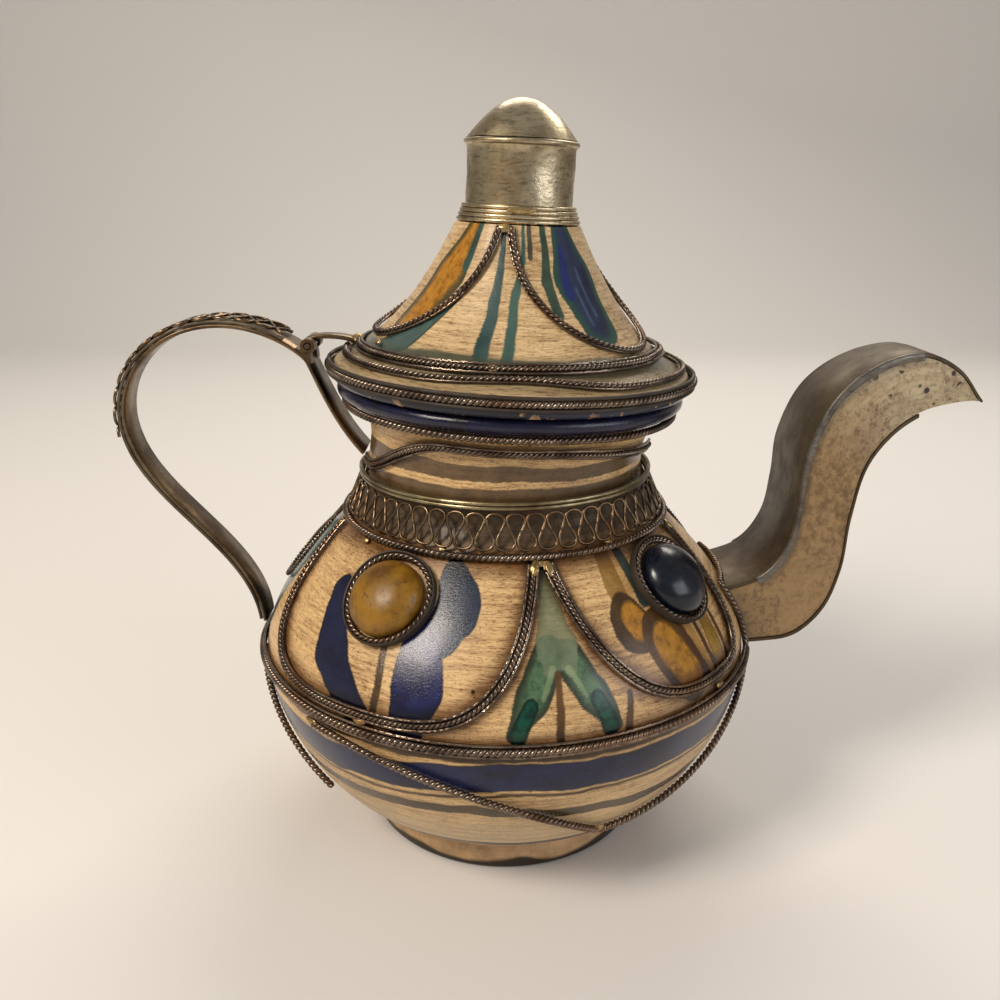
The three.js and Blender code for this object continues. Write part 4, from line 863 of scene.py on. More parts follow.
# %% Tree: omega scroll
scroll_tree, given = new_group(
    "Omega scroll", {"Path": "Geometry", "Waves": 10.0, "Pitch": 0.005, "Swing": 0.004, "Curl": 0.25,
                     "Wire radius": 0.0005, "Metal": "Material"}, {"Work": "Geometry"}, "GeometryNodeTree")
STEPS_A_WAVE, DEEPEST = 28.0, 0.001
path, along, across, away, part = even_path(times(given["Waves"], STEPS_A_WAVE))
phase = times(times(part, given["Waves"]), 2 * math.pi)
aside = vector("SCALE", across, times(number("COSINE", phase), given["Swing"]))
curl = times(given["Pitch"], given["Curl"])
curl = times(curl, number("SINE", times(phase, 2.0)))
offset = vector("ADD", aside, vector("SCALE", along, curl))
finish_tree([drawn_wire(path, offset, given["Wire radius"], 8)], DEEPEST)
print(scroll_tree.name, "has", len(tree.nodes), "nodes")

# %% Winding a tree round a path


def wind(name, places, tree, values, material, endless=False):
    """Runs a tree on a path of (point, outward) pairs and returns the finished mesh."""
    path = bpy.data.meshes.new(name)
    count = len(places)
    edges = [(i, i + 1) for i in range(count - 1)] + ([(count - 1, 0)] if endless else [])
    path.from_pydata([tuple(point * MM) for point, _ in places], edges, [])
    outward = path.attributes.new("outward", "FLOAT_VECTOR", "POINT")
    outward.data.foreach_set("vector", [c for _, direction in places for c in direction])
    holder = bpy.data.objects.new(name + " path", path)
    scene.collection.objects.link(holder)
    worker = holder.modifiers.new("work", "NODES")
    worker.node_group = tree
    sockets = {s.name: s.identifier for s in tree.interface.items_tree if s.in_out == "INPUT"}
    for label, value in {**values, "Metal": material}.items():
        worker[sockets[label]] = value
    mesh = worked_mesh(holder)
    bpy.data.objects.remove(holder)
    return finish_mesh(name, mesh, material, 60)


def distances(points):
    """How far along the line each point lies."""
    return list(accumulate(((b - a).length for a, b in zip(points, points[1:])), initial=0.0))


def path_length(places, endless=False):
    return distances([point for point, _ in places] + ([places[0][0]] if endless else []))[-1]


TURN, HAIR = 3.1, 0.02


def rope(name, places, radius, body, nodes, side_wire=0.0, side_distance=0.0, side_drop=0.0,
         endless=False, turn=TURN):
    """Twisted rope. Its pair of side wires, where it has none, is a hair inside it."""
    turns = max(round(path_length(places, endless) / turn), 3)
    piece = wind(name, places, rope_tree, {
        "Turns": float(turns), "Rope radius": radius * MM, "Side wire radius": max(side_wire, HAIR) * MM,
        "Side distance": side_distance * MM, "Side drop": side_drop * MM}, rope_metal, endless)
    return dress(piece, body, "rope_metal", *nodes)


def leant(places):
    return [(lean(point), tilted(outward)) for point, outward in places]


def ring_places(radius, height, leaning=False, wander=0.0):
    """Level ring that sways up and down as a hand-laid rope does."""
    places = []
    for turn in whole_turn(160):
        sway = wander * (math.sin(3 * turn + 1) + 0.6 * math.sin(7 * turn)) / 2
        outward = outward_at(turn)
        places.append((outward * (radius + sway * 0.4) + UP * (height + sway), outward))
    return leant(places) if leaning else places


def on_form(radius_at, angles_heights, lift, leaning=False):
    """Path laid over a turned form, through pairs of angle and height."""
    places = [place_on(radius_at, angle, height, lift)[:2] for angle, height in angles_heights]
    return leant(places) if leaning else places


# %% [markdown]
# ## Ropes on the body
#
# Each rope follows a rule: a ring round the rim, a belt at the equator, U-shaped festoons
# that hang from the collar, and swags and ties that drop from the belt. The rules give
# angles and heights, the outline turns them into places on the clay, and the tree winds the
# rope. Hand-laid rope never runs dead true, so the rings wander by a tenth of a millimetre.

# %% Rim, collar rope and belt
RIM_HEIGHT = FLARE_HEIGHT - 0.8
rim_radius = body_radius(RIM_HEIGHT) + ROPE + SEAT + 0.2
rope("wound rim rope", ring_places(rim_radius, RIM_HEIGHT - ROPE * 0.3, leaning=True, wander=0.12), ROPE,
     "pot", ["rim_rope"], endless=True)
collar_point, _, _ = place_on(body_radius, 0, COLLAR_ROPE_HEIGHT, ROPE + SEAT)
rope("wound collar rope", ring_places(-collar_point.y, collar_point.z, wander=0.1), ROPE, "pot",
     ["collar_bottom_rope"], endless=True)
STRAND = {"side_wire": 0.46, "side_distance": 1.2, "side_drop": 0.2, "turn": 2.8}
STRAND_RADIUS = 0.76
BELT = {"side_wire": 0.5, "side_distance": 1.45, "side_drop": 0.5}
SPOUT_ROOT_HALF, ROOT_WIRE = 15, 0.9
root_angle = math.degrees(math.asin((SPOUT_ROOT_HALF + 2 * ROOT_WIRE + 3 * SEAT) / BELLY_RADIUS))
belt_run = [(lerp(90 + root_angle, 450 - root_angle, i / 220), EQUATOR + 0.12 * math.sin(i / 9))
            for i in range(221)]
rope("wound belt", on_form(body_radius, belt_run, SEAT + 1.05), 1.02, "pot", ["equator_rope"], **BELT)

# %% Festoons, swags and ties


def spreads_from_middle(count, power):
    """Steps from -1 to 1 that crowd where a hanging rope turns up."""
    shares = [i / count - 1 for i in range(2 * count + 1)]
    return [math.copysign(abs(share) ** power, share) for share in shares]


for name, petal in (
        ("front_left", LEFT_PETAL), ("front_right", RIGHT_PETAL),
        ("back_right", (behind(BY_SPOUT), NARROW, WIDE, LEAN_PETAL, PETAL_RAISE)),
        ("back_left", (behind(BY_HANDLE), WIDE, WIDE, FULL_PETAL, 0))):
    run = [petal_point(petal, spread) for spread in spreads_from_middle(70, 0.62)]
    rope("wound festoon " + name.replace("_", " "), on_form(body_radius, run, SEAT + STRAND_RADIUS),
         STRAND_RADIUS, "pot", ["petal_festoon_" + name], **STRAND)
SWAG_FOOT = 25
SWAG_TOP = EQUATOR - BELT_HALF - ROPE - SEAT - 0.25
for side, mirror in (("front", lambda a: a), ("back", behind)):
    for name, node, start, end, from_height, to_height, bend in (
            ("wound swag", "swag_rope", -43, 22.5, SWAG_TOP, SWAG_FOOT + 1, 1.8),
            ("wound spout tie", "spout_tie", 24, 80, SWAG_FOOT + 0.2, SWAG_TOP - 1.2, 1.9),
            ("wound handle tie", "handle_tie", -51, -84, SWAG_FOOT + 2, SWAG_TOP - 0.4, 1.0)):
        run = [(lerp(mirror(start), mirror(end), i / 90), lerp(from_height, to_height, (i / 90) ** bend))
               for i in range(91)]
        rope(f"{name} {side}", on_form(body_radius, run, ROPE + SEAT), ROPE, "pot", [f"{node}_{side}"])

# %% Loose strand across the neck
STRAP_WIDTH, STRAP_THICKNESS = 14, 1.1
HOOP_HEIGHT, HOOP_END, DROP_AT_HANDLE, DROP_AT_SPOUT = 125.1, 77, 12.8, 4.9
hoop_start = -90 + math.degrees((STRAP_WIDTH / 2 + 2 * SEAT) / NECK_RADIUS)
hoop_run = []
for i in range(151):
    angle = lerp(hoop_start, HOOP_END, i / 150)
    drop = DROP_AT_HANDLE * ease(-angle, 22, 72) + DROP_AT_SPOUT * ease(angle, 14, 90) ** 0.8
    hoop_run.append((angle, HOOP_HEIGHT - drop))
rope("wound neck strand", on_form(body_radius, hoop_run, SEAT + 0.5 + STRAND_RADIUS, leaning=True),
     STRAND_RADIUS, "pot", ["neck_rope"], **STRAND)

# %% [markdown]
# ## Openwork collar
#
# Round the corner of the neck stands a lattice that does not touch the clay: two wires
# above, the rope below, and the scroll between them, each turn soldered where it touches.

# %% Collar
RING_LOW, RING_HIGH, RING_INNER, RING_WIDTH = 109.3, 111.6, 41.1, 1.6
COLLAR_WAVES, COLLAR_WIRE = 52, 0.42
FINE_WIRE, LATTICE_SPREAD, CURL = 0.4, 4, 0.31
ring_middle = RING_INNER + RING_WIDTH / 2
scroll_low = collar_point.z + ROPE + COLLAR_WIRE + SEAT * 0.5
scroll_high = RING_LOW - COLLAR_WIRE - SEAT


def lattice_radius(z):
    return ring_middle + LATTICE_SPREAD * (RING_LOW - z) / (RING_LOW - scroll_low)


WIRE_SIDES = 10


def plain_wires(name, rows, material, body, nodes, slot, steps=200):
    """Rings of round wire given as (radius, height, wire radius, leaning), joined into one piece."""
    points, faces = [], []
    for radius, height, wire, leaning in rows:
        base = len(points)
        for angle in whole_turn(steps):
            outward = Vector((math.cos(angle), math.sin(angle), 0))
            for turn in whole_turn(WIRE_SIDES):
                point = outward * (radius + wire * math.cos(turn)) + UP * (height + wire * math.sin(turn))
                points.append(lean(point) if leaning else point)
        for i in range(steps):
            here, there = base + i * WIRE_SIDES, base + (i + 1) % steps * WIRE_SIDES
            for j in range(WIRE_SIDES):
                k = (j + 1) % WIRE_SIDES
                faces.append((here + j, there + j, there + k, here + k))
    return dress(mesh_from(name, points, faces, material, 60), body, slot, *nodes)


ring_rows = [(ring_middle, RING_LOW + 0.55, 0.6, False),
             (ring_middle + 0.1, RING_HIGH - 0.55, 0.6, False)]
plain_wires("collar ring wires", ring_rows, ring_metal, "pot", ["collar_top_wires"], "silver_wire")
middle_height = (scroll_high + scroll_low) / 2
slope = LATTICE_SPREAD / (RING_LOW - scroll_low)
collar_run = []
for i in range(360):
    angle = math.radians(i)
    outward = outward_at(angle)
    collar_run.append((outward * lattice_radius(middle_height) + UP * middle_height,
                       (outward + UP * slope).normalized()))
collar_pitch = 2 * math.pi * lattice_radius(middle_height) / COLLAR_WAVES
collar_scroll = wind("collar omegas", collar_run, scroll_tree, {
    "Waves": float(COLLAR_WAVES), "Pitch": collar_pitch * MM,
    "Swing": (scroll_high - scroll_low) / 2 * math.hypot(1, slope) * MM,
    "Curl": CURL, "Wire radius": FINE_WIRE * MM}, scroll_metal, endless=True)
dress(collar_scroll, "pot", "silver_wire", "collar_scroll")

# %% [markdown]
# ## Lid and its paint
#
# The lid is another turned form, with a broad flange and a cone that curves in like a tent.
# Its paint is laid out on the same flat map, once the lean is taken out by a Mapping node.

# %% Lid glaze
lid_glaze, shader = new_material("Painted lid")
seen = own_place()
sunk = vector("SUBTRACT", seen, (0, 0, LEAN_PIVOT * MM))
turned_back = add_node("ShaderNodeMapping", {"Vector": sunk, "Rotation": (0, -LEAN, 0)}).outputs[0]
place = vector("ADD", turned_back, (0, 0, LEAN_PIVOT * MM))
PER_DEGREE = 0.5
flat_map = group_node(map_group, {"Place": place, "Millimetres per degree": PER_DEGREE, "Wobble": 2.0,
                                  "Lean": 0.0})
height = flat_map.outputs["Height"]
clay = group_node(clay_group, {
    "Place": place, "Streak place": flat_map.outputs["Streak place"], "Light": "d6b889",
    "Dark": "7c5a34", "Speckle": 0.5})
surface = clay.outputs["Colour"]
brush = brush_place(flat_map, clay)
# An amber leaf edged in green on the left, a navy leaf on the right, teal lines between.
paint([((-41, 178, 3.6), (-48, 166, 7.2), (-58, 153, 5.6))],
      "b37a1c", "7d5212", "1c3428", 2.4, "Fine cloud")
paint([((-34.5, 179, 1.2), (-35.4, 168, 1.3))], "33504a", "1e332e")
paint([((-33, 161, 1.4), (-50, 149, 3.0), (-62, 146.4, 2.0))], "4a605c", "2c423e", "22332c", 0.6)
paint([((37, 179, 4.6), (40.5, 166, 8.4), (43.5, 155, 5.6))], "26324c", "0d132c", "24493a", 2.2)
paint([((33, 173, 1.2), (32, 162, 1.8))], "1a2568", "0f1640", cover=0.7)
paint([((43, 168, 0.6), (45, 157, 0.6)), ((38, 163, 0.5), (40, 155, 0.5))], "4b5a74", "2c3850", cover=0.7)
paint([((-12.4, 177, 1.0), (-11.4, 160, 1.5), (-13.4, 147, 1.5))], "3a524f", "243c3b")
paint([((3.4, 178, 0.8), (2.8, 170, 0.9), (-0.6, 161.8, 1.2), (-2.9, 147, 1.3))], "456057", "2c4a42")
paint([((8.6, 179, 1.1), (8, 171, 1.0))], "5a564a", "3d3a30")
paint([((20.5, 179, 1.3), (18.6, 165, 1.8), (22, 157, 1.3))], "3c5040", "22332a")
paint(along_round(146.0, 1.5), "4a6054", "24382f", cover=0.8)
paint(along_round(134, 5.4), "121a40", "080b20", "07091a", 0.5)
chip_seed = noise(place, 190.0, 3.0, 0.6)
chips = times(smooth(chip_seed, 0.58, 0.62), smooth(height, 139.0, 141.0, 1.0, 0.0))
surface = mix(chips, surface, mix(clay.outputs["Fine cloud"], "d8b98c", "7c3f24"))
# Dark green in the corner where the cone rises from the flange: partly paint and partly painted shade
# under the foot rope.
corner = smooth(height, 139.5, 144.8, 0.3, 0.8)
corner = times(corner, smooth(height, 145.5, 149.0, 1.0, 0.0))
surface = mix(corner, surface, "333a2e")
finish_glaze(glaze_roughness(surface), 60.0, 4.0)

# %% Lid shell
SKIRT = MOUTH_RADIUS - 1.3
FINIAL_RADIUS, FINIAL_SHEET, FINIAL_WIRES, FINIAL_HEIGHT = 14.7, 0.8, 4.6, 16
knob_radius = FINIAL_RADIUS - FINIAL_SHEET - SEAT - 0.2
knob_top = CONE_TOP.y + FINIAL_WIRES + FINIAL_HEIGHT * 0.5
cone_rows = [tuple(cone_point(i / 30)) for i in range(31)]
inner_cone = [(x - 4.5, z - 4.05) for x, z in reversed(cone_rows[::3])]
outline = [(SKIRT - 4.4, LID_SEAT - 3)] + arc((SKIRT - 0.6, LID_SEAT - 2.4), 0.6, -90, 0, 3)
outline += [(SKIRT, LID_SEAT)] + arc((LID_RADIUS - 1.5, LID_SEAT + 1.5), 1.5, -90, 0, 5)
outline += arc((FLANGE_OUTER.x - 1.1, FLANGE_OUTER.y - 1.0), 1.2, 10, 70, 4) + [tuple(FLANGE_INNER)]
outline += cone_rows + [(knob_radius, CONE_TOP.y + 0.1), (knob_radius, knob_top), (0, knob_top)]
outline += [(0, CONE_TOP.y - 6)] + inner_cone + [(SKIRT - 4.6, CONE_FOOT.y - 6)]
lid = turned("lid", outline, lid_glaze, bend=lean, sharp=50)
dress(lid, "lid", "glazed_lid", "lid_shell")

# %% Ropes on the lid
EDGE_LOW = LID_SEAT + 2.4
edge_radius = LID_RADIUS + SEAT
edge_rows = [(edge_radius + 0.75, EDGE_LOW + 3.1, 0.55, True),
             (edge_radius + 1.0, EDGE_LOW + 0.25, 0.5, True)]
plain_wires("lid edge wires", edge_rows, rope_metal, "lid", ["lid_edge_ropes"], "rope_metal")
rope("wound lid edge", ring_places(edge_radius + 1.0, EDGE_LOW + 1.7, leaning=True, wander=0.08),
     1.0, "lid", [], endless=True)
foot_run = [(i * 2, CONE_FOOT.y - 0.8 + 0.9 * math.sin(math.radians(i * 2))) for i in range(180)]
rope("wound lid foot rope", on_form(lid_radius, foot_run, SEAT + STRAND_RADIUS + 0.15, leaning=True),
     STRAND_RADIUS, "lid", ["lid_foot_rope"], endless=True, **STRAND)


STRAY, STRAY_BY_SPOUT, LAID_OVER = 1.9, 3.2, 0.85


def flange_places():
    """Loose ring that starts close to the cone, behind it, and strays out over the flange."""
    run = []
    for i in range(201):
        angle = behind(0) + 3 + i / 200 * 354
        away = (angle - 3 + 540) % 360 - 180
        stray = STRAY_BY_SPOUT if away > 0 else STRAY
        strayed = lerp(stray, STRAY, ease(abs(away), 90, 180))
        radius = FLANGE_INNER.x + 2 + strayed * ease(abs(away), 0, 34)
        part = (radius - FLANGE_OUTER.x) / (FLANGE_INNER.x - FLANGE_OUTER.x)
        run.append((angle, lerp(FLANGE_OUTER.y, FLANGE_INNER.y, part)))
    return on_form(lid_radius, run, LAID_OVER + SEAT, leaning=True)


rope("wound flange rope", flange_places(), 0.8, "lid", ["lid_flange_rope"], side_wire=0.3,
     side_distance=0.86, side_drop=0.45)
swag_top, swag_low = CONE_TOP.y - 0.9, CONE_FOOT.y + 2.2
for name, centre, half in (("front_left", -78, 62), ("front_right", 56, 62), ("back", 170, 41)):
    run = []
    for spread in spreads_from_middle(60, 0.8):
        climb = 0.8 * abs(spread) ** 2.1 + 0.2 * abs(spread) ** 14
        run.append((centre + spread * half, lerp(swag_low, swag_top, climb)))
    places = on_form(lid_radius, run, SEAT + LAID_OVER, leaning=True)
    rope("wound lid swag " + name.replace("_", " "), places, 0.78, "lid", ["lid_swag_" + name],
         side_wire=0.3, side_distance=0.82, side_drop=0.4)

# %% [markdown]
# ## Finial
#
# A short tube of sheet with a rolled bead, capped by a hammered dome, stands on four wires
# that step inwards. Its face is dented and brushed, so the outline is turned with shallow
# waves that a lathe alone would not leave.

# %% Finial sleeve, dome and wires
collar_foot = CONE_TOP.y + SEAT
sleeve_top = collar_foot + FINIAL_WIRES + FINIAL_HEIGHT


def dented(point):
    around = math.atan2(point.y, point.x)
    waves = math.sin(3 * around + point.z * 0.5) + 0.6 * math.sin(8 * around - point.z * 0.9)
    push = 0.07 * waves
    return lean(Vector((point.x * (1 + push / FINIAL_RADIUS), point.y * (1 + push / FINIAL_RADIUS),
                        point.z)))


sleeve = [(FINIAL_RADIUS - FINIAL_SHEET, collar_foot), (FINIAL_RADIUS, collar_foot)]
for i in range(9):
    height = lerp(collar_foot + 1, sleeve_top - 1.7, i / 8)
    sleeve.append((FINIAL_RADIUS - 0.12 * math.sin(math.pi * i / 8), height))
sleeve += arc((FINIAL_RADIUS + 0.1, sleeve_top - 0.35), 0.8, -80, 90, 8)
sleeve.append((FINIAL_RADIUS - FINIAL_SHEET, sleeve_top))
dress(turned("finial tube", sleeve, finial_metal, 96, dented), "lid", "silver_wire", "finial_sleeve")
DOME_RADIUS, DOME_RISE, DOME_SEAT = 14.8, 10.4, 0.48
dome = [(0, sleeve_top + DOME_SEAT)]
for i in range(25):
    share = 1 - (i / 24) ** 1.3
    dome.append((DOME_RADIUS * share, sleeve_top + DOME_SEAT + 0.2 + DOME_RISE * (1 - share**2)))
dress(turned("finial cap", dome, finial_metal, 96, dented), "lid", "silver_wire", "finial_dome")
STACKED_WIRE, STACK_SPREAD = 0.62, 1.2
wires = []
for i in range(4):
    radius = FINIAL_RADIUS + SEAT + 0.15 + (1 - i / 3) * STACK_SPREAD
    wires.append((radius, collar_foot + (i + 0.5) * FINIAL_WIRES / 4, STACKED_WIRE, True))
plain_wires("finial wires", wires, finial_metal, "lid", ["finial_collar_wires"], "silver_wire", steps=120)

# %% [markdown]
# ## Handle
#
# The strap is one ribbon of sheet bent to a loop: up from the belly, round, over to the
# hinge, and down to the neck. Its outside carries the scroll between two round wires; over
# the arch the scroll rides on top of them. Its path is four cubic curves, walked at an even
# pace.

# %% Handle path
KNUCKLE_RADIUS = 2.1
REACH, REACH_HEIGHT, TOP_REACH, TOP_HEIGHT = 109.3, 125, 80, 151


def flat(x, z):
    return Vector((x, 0, z))


hinge = lean(flat(-(LID_RADIUS + 6.6), EDGE_LOW + 3.8 + 2))
strap_lift = STRAP_THICKNESS / 2 + SEAT
strap_foot = flat(-(BELLY_RADIUS + strap_lift + 0.35), EQUATOR + BELT_HALF + SEAT + 0.5)
strap_hinge = flat(hinge.x - 0.4, hinge.z - KNUCKLE_RADIUS - STRAP_THICKNESS - 0.8)
neck_height = RING_HIGH + SEAT + 3
strap_neck = flat(-(body_radius(neck_height) + strap_lift + 0.2), neck_height)
arch_width, arch_height = REACH - TOP_REACH, TOP_HEIGHT - REACH_HEIGHT
rise, drop = REACH_HEIGHT - strap_foot.z, strap_hinge.z - strap_neck.z
pass_width = TOP_REACH + strap_hinge.x
QUARTER = 0.5523
strap_reach, strap_crown = flat(-REACH, REACH_HEIGHT), flat(-TOP_REACH, TOP_HEIGHT)
bends = [
    (strap_foot, flat(-0.024, 0.41) * rise, flat(0, -0.38) * rise, strap_reach),
    (strap_reach, flat(0, QUARTER) * arch_height, flat(-QUARTER, 0) * arch_width, strap_crown),
    (strap_crown, flat(0.49, 0) * pass_width, flat(-0.14, 0.16) * pass_width, strap_hinge),
    (strap_hinge, flat(0.09, -0.19) * drop, flat(-0.31, 0.35) * drop, strap_neck)]
walk = [strap_foot]
bend_ends = []
for start, leave, reach, end in bends:
    walk += geometry.interpolate_bezier(start, start + leave, end + reach, end, 200)[1:]
    bend_ends.append(len(walk) - 1)
paces = distances(walk)
strap_length = paces[-1]


def strap_place(part, lift, aside=0.0):
    """Point at a share of the strap's length, lifted to its outer side, and that side's direction."""
    distance = min(max(part, 0.0), 1.0) * strap_length
    i = max(bisect_left(paces, distance), 1)
    share = (distance - paces[i - 1]) / (paces[i] - paces[i - 1])
    along = (walk[min(i + 1, len(walk) - 1)] - walk[max(i - 2, 0)]).normalized()
    outward = Vector((-along.z, 0, along.x))
    point = walk[i - 1].lerp(walk[i], share) + outward * lift
    point.y = aside
    return point, outward


print("strap length", round(strap_length), "mm")

# %% Strap, edge wires and scroll


def sheet_section(half, thin, soft):
    """Cut across a strip of sheet, as (aside, lift) pairs, with its edges filed soft."""
    below = [(-half, -thin + soft), (-half + soft, -thin), (half - soft, -thin), (half, -thin + soft)]
    return below + [(-aside, -lift) for aside, lift in below]


def edge_of(line, i):
    """Outer side of a line drawn in the pot's middle plane, at one of its points."""
    along = (line[min(i + 1, len(line) - 1)] - line[max(i - 1, 0)]).normalized()
    return Vector((-along.z, 0, along.x))


rings = []
thin = STRAP_THICKNESS / 2
hinge_part = paces[bend_ends[2]] / strap_length


HAND_HALF, STRAP_STEPS = 5.1, 180


def strap_half(part):
    """The smith cut the strap narrow for the hand and left it wide where the hinge sits."""
    return lerp(HAND_HALF, STRAP_WIDTH / 2, ease(part, hinge_part - 0.16, hinge_part - 0.03))


for i in range(STRAP_STEPS + 1):
    section = sheet_section(strap_half(i / STRAP_STEPS), thin, 0.28)
    rings.append([strap_place(i / STRAP_STEPS, lift, y)[0] for y, lift in section])
dress(loft("handle ribbon", rings, strap_metal, sharp=60), "pot", "strap_metal", "handle_strap")
scroll_start = 0.03
scroll_end = 1 - (strap_length - paces[bend_ends[2]] + KNUCKLE_RADIUS * 4) / strap_length
EDGE_WIRE, HANDLE_WIRE, HANDLE_PITCH = 0.5, 0.46, 5.8
reach_part = paces[bend_ends[0]] / strap_length - 0.03
for name, start, end, lift, swing, nodes in (
        ("handle omegas", reach_part, scroll_end - 0.003, EDGE_WIRE * 2, HAND_HALF, ["handle_scroll"]),
        ("handle low omegas", scroll_start + 0.003, reach_part, 0.0,
         HAND_HALF - 2 * EDGE_WIRE - HANDLE_WIRE, [])):
    lift += thin + SEAT
    run = [strap_place(lerp(start, end, i / 160), lift + HANDLE_WIRE * 0.8) for i in range(161)]
    waves = round(path_length(run) / HANDLE_PITCH)
    dress(wind(name, run, scroll_tree, {
        "Waves": float(waves), "Pitch": path_length(run) / waves * MM, "Swing": swing * MM,
        "Curl": CURL, "Wire radius": HANDLE_WIRE * MM}, scroll_metal), "pot", "silver_wire", *nodes)
for side, sign in (("front", -1), ("back", 1)):
    rings = []
    for i in range(STRAP_STEPS + 1):
        part = lerp(0.004, scroll_end, i / STRAP_STEPS)
        edge = sign * (strap_half(part) - EDGE_WIRE)
        rings.append([strap_place(part, thin + SEAT * 0.5 + EDGE_WIRE * (1 + math.sin(k * math.pi / 5)),
                                  edge + EDGE_WIRE * math.cos(k * math.pi / 5))[0] for k in range(10)])
    dress(loft("handle edge " + side, rings, wire_metal, sharp=60), "pot", "silver_wire",
          "handle_edge_wire_" + side)

# %% [markdown]
# ## Stones
#
# Each cabochon is resin, cut flat below and domed above, and held by a strip that is bent
# round it with a rope along its inner side. The pot curves under it, so the bezel's path is
# laid on the clay and the stone leans with it. Mustard amber is cloudy and speckled, and
# navy is nearly black until light falls on it.

# %% Resin
amber, shader = new_material("Mustard amber")
place = own_place()
body_tone = mottled(place, "8c6414", "59390b", 120.0, 0.3, 0.72)
flecks = smooth(noise(place, 620.0, 4.0, 0.7), 0.55, 0.68)
body_tone = mix(times(flecks, 0.7), body_tone, "452a0c")
feed(shader, {"Base Color": body_tone,
              "Roughness": smooth(noise(place, 300.0, 3.0, 0.6), 0.3, 0.8, 0.34, 0.5),
              "Normal": bumped(noise(place, 420.0, 3.0, 0.6), 0.0001), "Specular IOR Level": 0.4})
navy, shader = new_material("Navy resin")
place = own_place()
feed(shader, {"Base Color": mottled(place, "0b1220", "04070d", 200.0),
              "Roughness": smooth(noise(place, 500.0, 3.0, 0.6), 0.35, 0.8, 0.22, 0.36),
              "Specular IOR Level": 0.35, "Coat Weight": 0.15, "Coat Roughness": 0.12})

# %% Cabochons and bezels
STONE_RADIUS, STONE_EDGE, STONE_RISE, BEZEL_WIDTH, BEZEL_HEIGHT = 10.2, 1.4, 6, 2.1, 2.4
bezel_reach = STONE_RADIUS + SEAT + BEZEL_WIDTH + 0.3
stone_height = COLLAR_ROPE_HEIGHT
for _ in range(20):
    stone_height -= place_on(body_radius, 0, stone_height)[2].z * (ROPE + 0.6 + bezel_reach) / 20


def cabochon(name, angle, material, slot, node):
    point, normal, climb = place_on(body_radius, angle, stone_height, SEAT)
    side = climb.cross(normal)
    profile = [(0.0, 0.0), (STONE_RADIUS - 0.5, 0.0)] + arc((STONE_RADIUS - 0.5, 0.5), 0.5, -80, 0, 3)
    profile += [(STONE_RADIUS * math.cos(turn), STONE_EDGE + STONE_RISE * math.sin(turn))
                for turn in (math.pi / 2 * i / 16 for i in range(17))]
    rings = []
    for turn in whole_turn(64):
        ray = climb * math.cos(turn) + side * math.sin(turn)
        rings.append([point + ray * r + normal * z for r, z in profile])
    dress(loft(name, rings, material, endless=True, sharp=50), "pot", slot, node)


def bezel_places(angle, across, lift):
    """Ring round a stone on the clay, a given distance out from the middle of its bezel."""
    _, normal, climb = place_on(body_radius, angle, stone_height)
    middle = bezel_reach - BEZEL_WIDTH / 2 + across
    places = []
    for turn in whole_turn(96):
        up = math.cos(turn)
        height = stone_height + climb.z * middle * up - (1 - normal.z) * 0.2 * up**2
        aside = math.degrees(math.asin(middle * math.sin(turn) / body_radius(height)))
        places.append(place_on(body_radius, angle + aside, height, lift)[:2])
    return places


for stone, material, slot, angle in (
        ("amber", amber, "amber_resin", -32), ("navy", navy, "navy_resin", 51.5)):
    for side, turned_angle in (("front", angle), ("back", behind(angle))):
        cabochon(f"stone {stone} {side}", turned_angle, material, slot, f"cabochon_{stone}_{side}")
        inner = bezel_places(turned_angle, 0.1, SEAT)
        outer = bezel_places(turned_angle, BEZEL_WIDTH / 2 - 0.05, SEAT)
        rings = []
        for (a, up_a), (b, up_b) in zip(inner, outer):
            out = (b - a).normalized()
            rings.append([b, b + up_b * (BEZEL_HEIGHT - 0.2), b - out * 0.15 + up_b * BEZEL_HEIGHT,
                          b - out * 0.45 + up_b * (BEZEL_HEIGHT - 0.1), a + up_a * 0.9, a])
        dress(loft(f"bezel strip {stone} {side}", rings, rope_metal, endless=True), "pot", "rope_metal",
              f"bezel_{stone}_{side}")
        rope(f"bezel rope {stone} {side}", bezel_places(turned_angle, -0.25, SEAT + 1.55), 0.88, "pot",
             [], endless=True, turn=3.2)

# %% [markdown]
# ## Spout
#
# The spout is a box: two plates of camel bone between a strip above and a strip below, all
# bent to one curve and cut to fit the belly. Two smooth edge lines define it. Plates and
# strips are lofted between them, and a copy of the belly cuts their feet to shape.

# %% Spout edges
UPPER = [(-22.2, 74), (-6.2, 77.2), (3.3, 81.6), (9.1, 90.5), (11.1, 103), (12, 116.5),
         (18.3, 132), (29.8, 141.2), (43.3, 144.3), (55.3, 139.3), (63.6, 130)]
LOWER = [(-16.2, 58.6), (2.8, 59.2), (13.6, 61.4), (21.4, 69.6), (25.4, 82), (26.7, 98),
         (30, 112.5), (36.6, 121), (45.3, 126.3), (55.3, 128.4), (62.8, 128.8)]


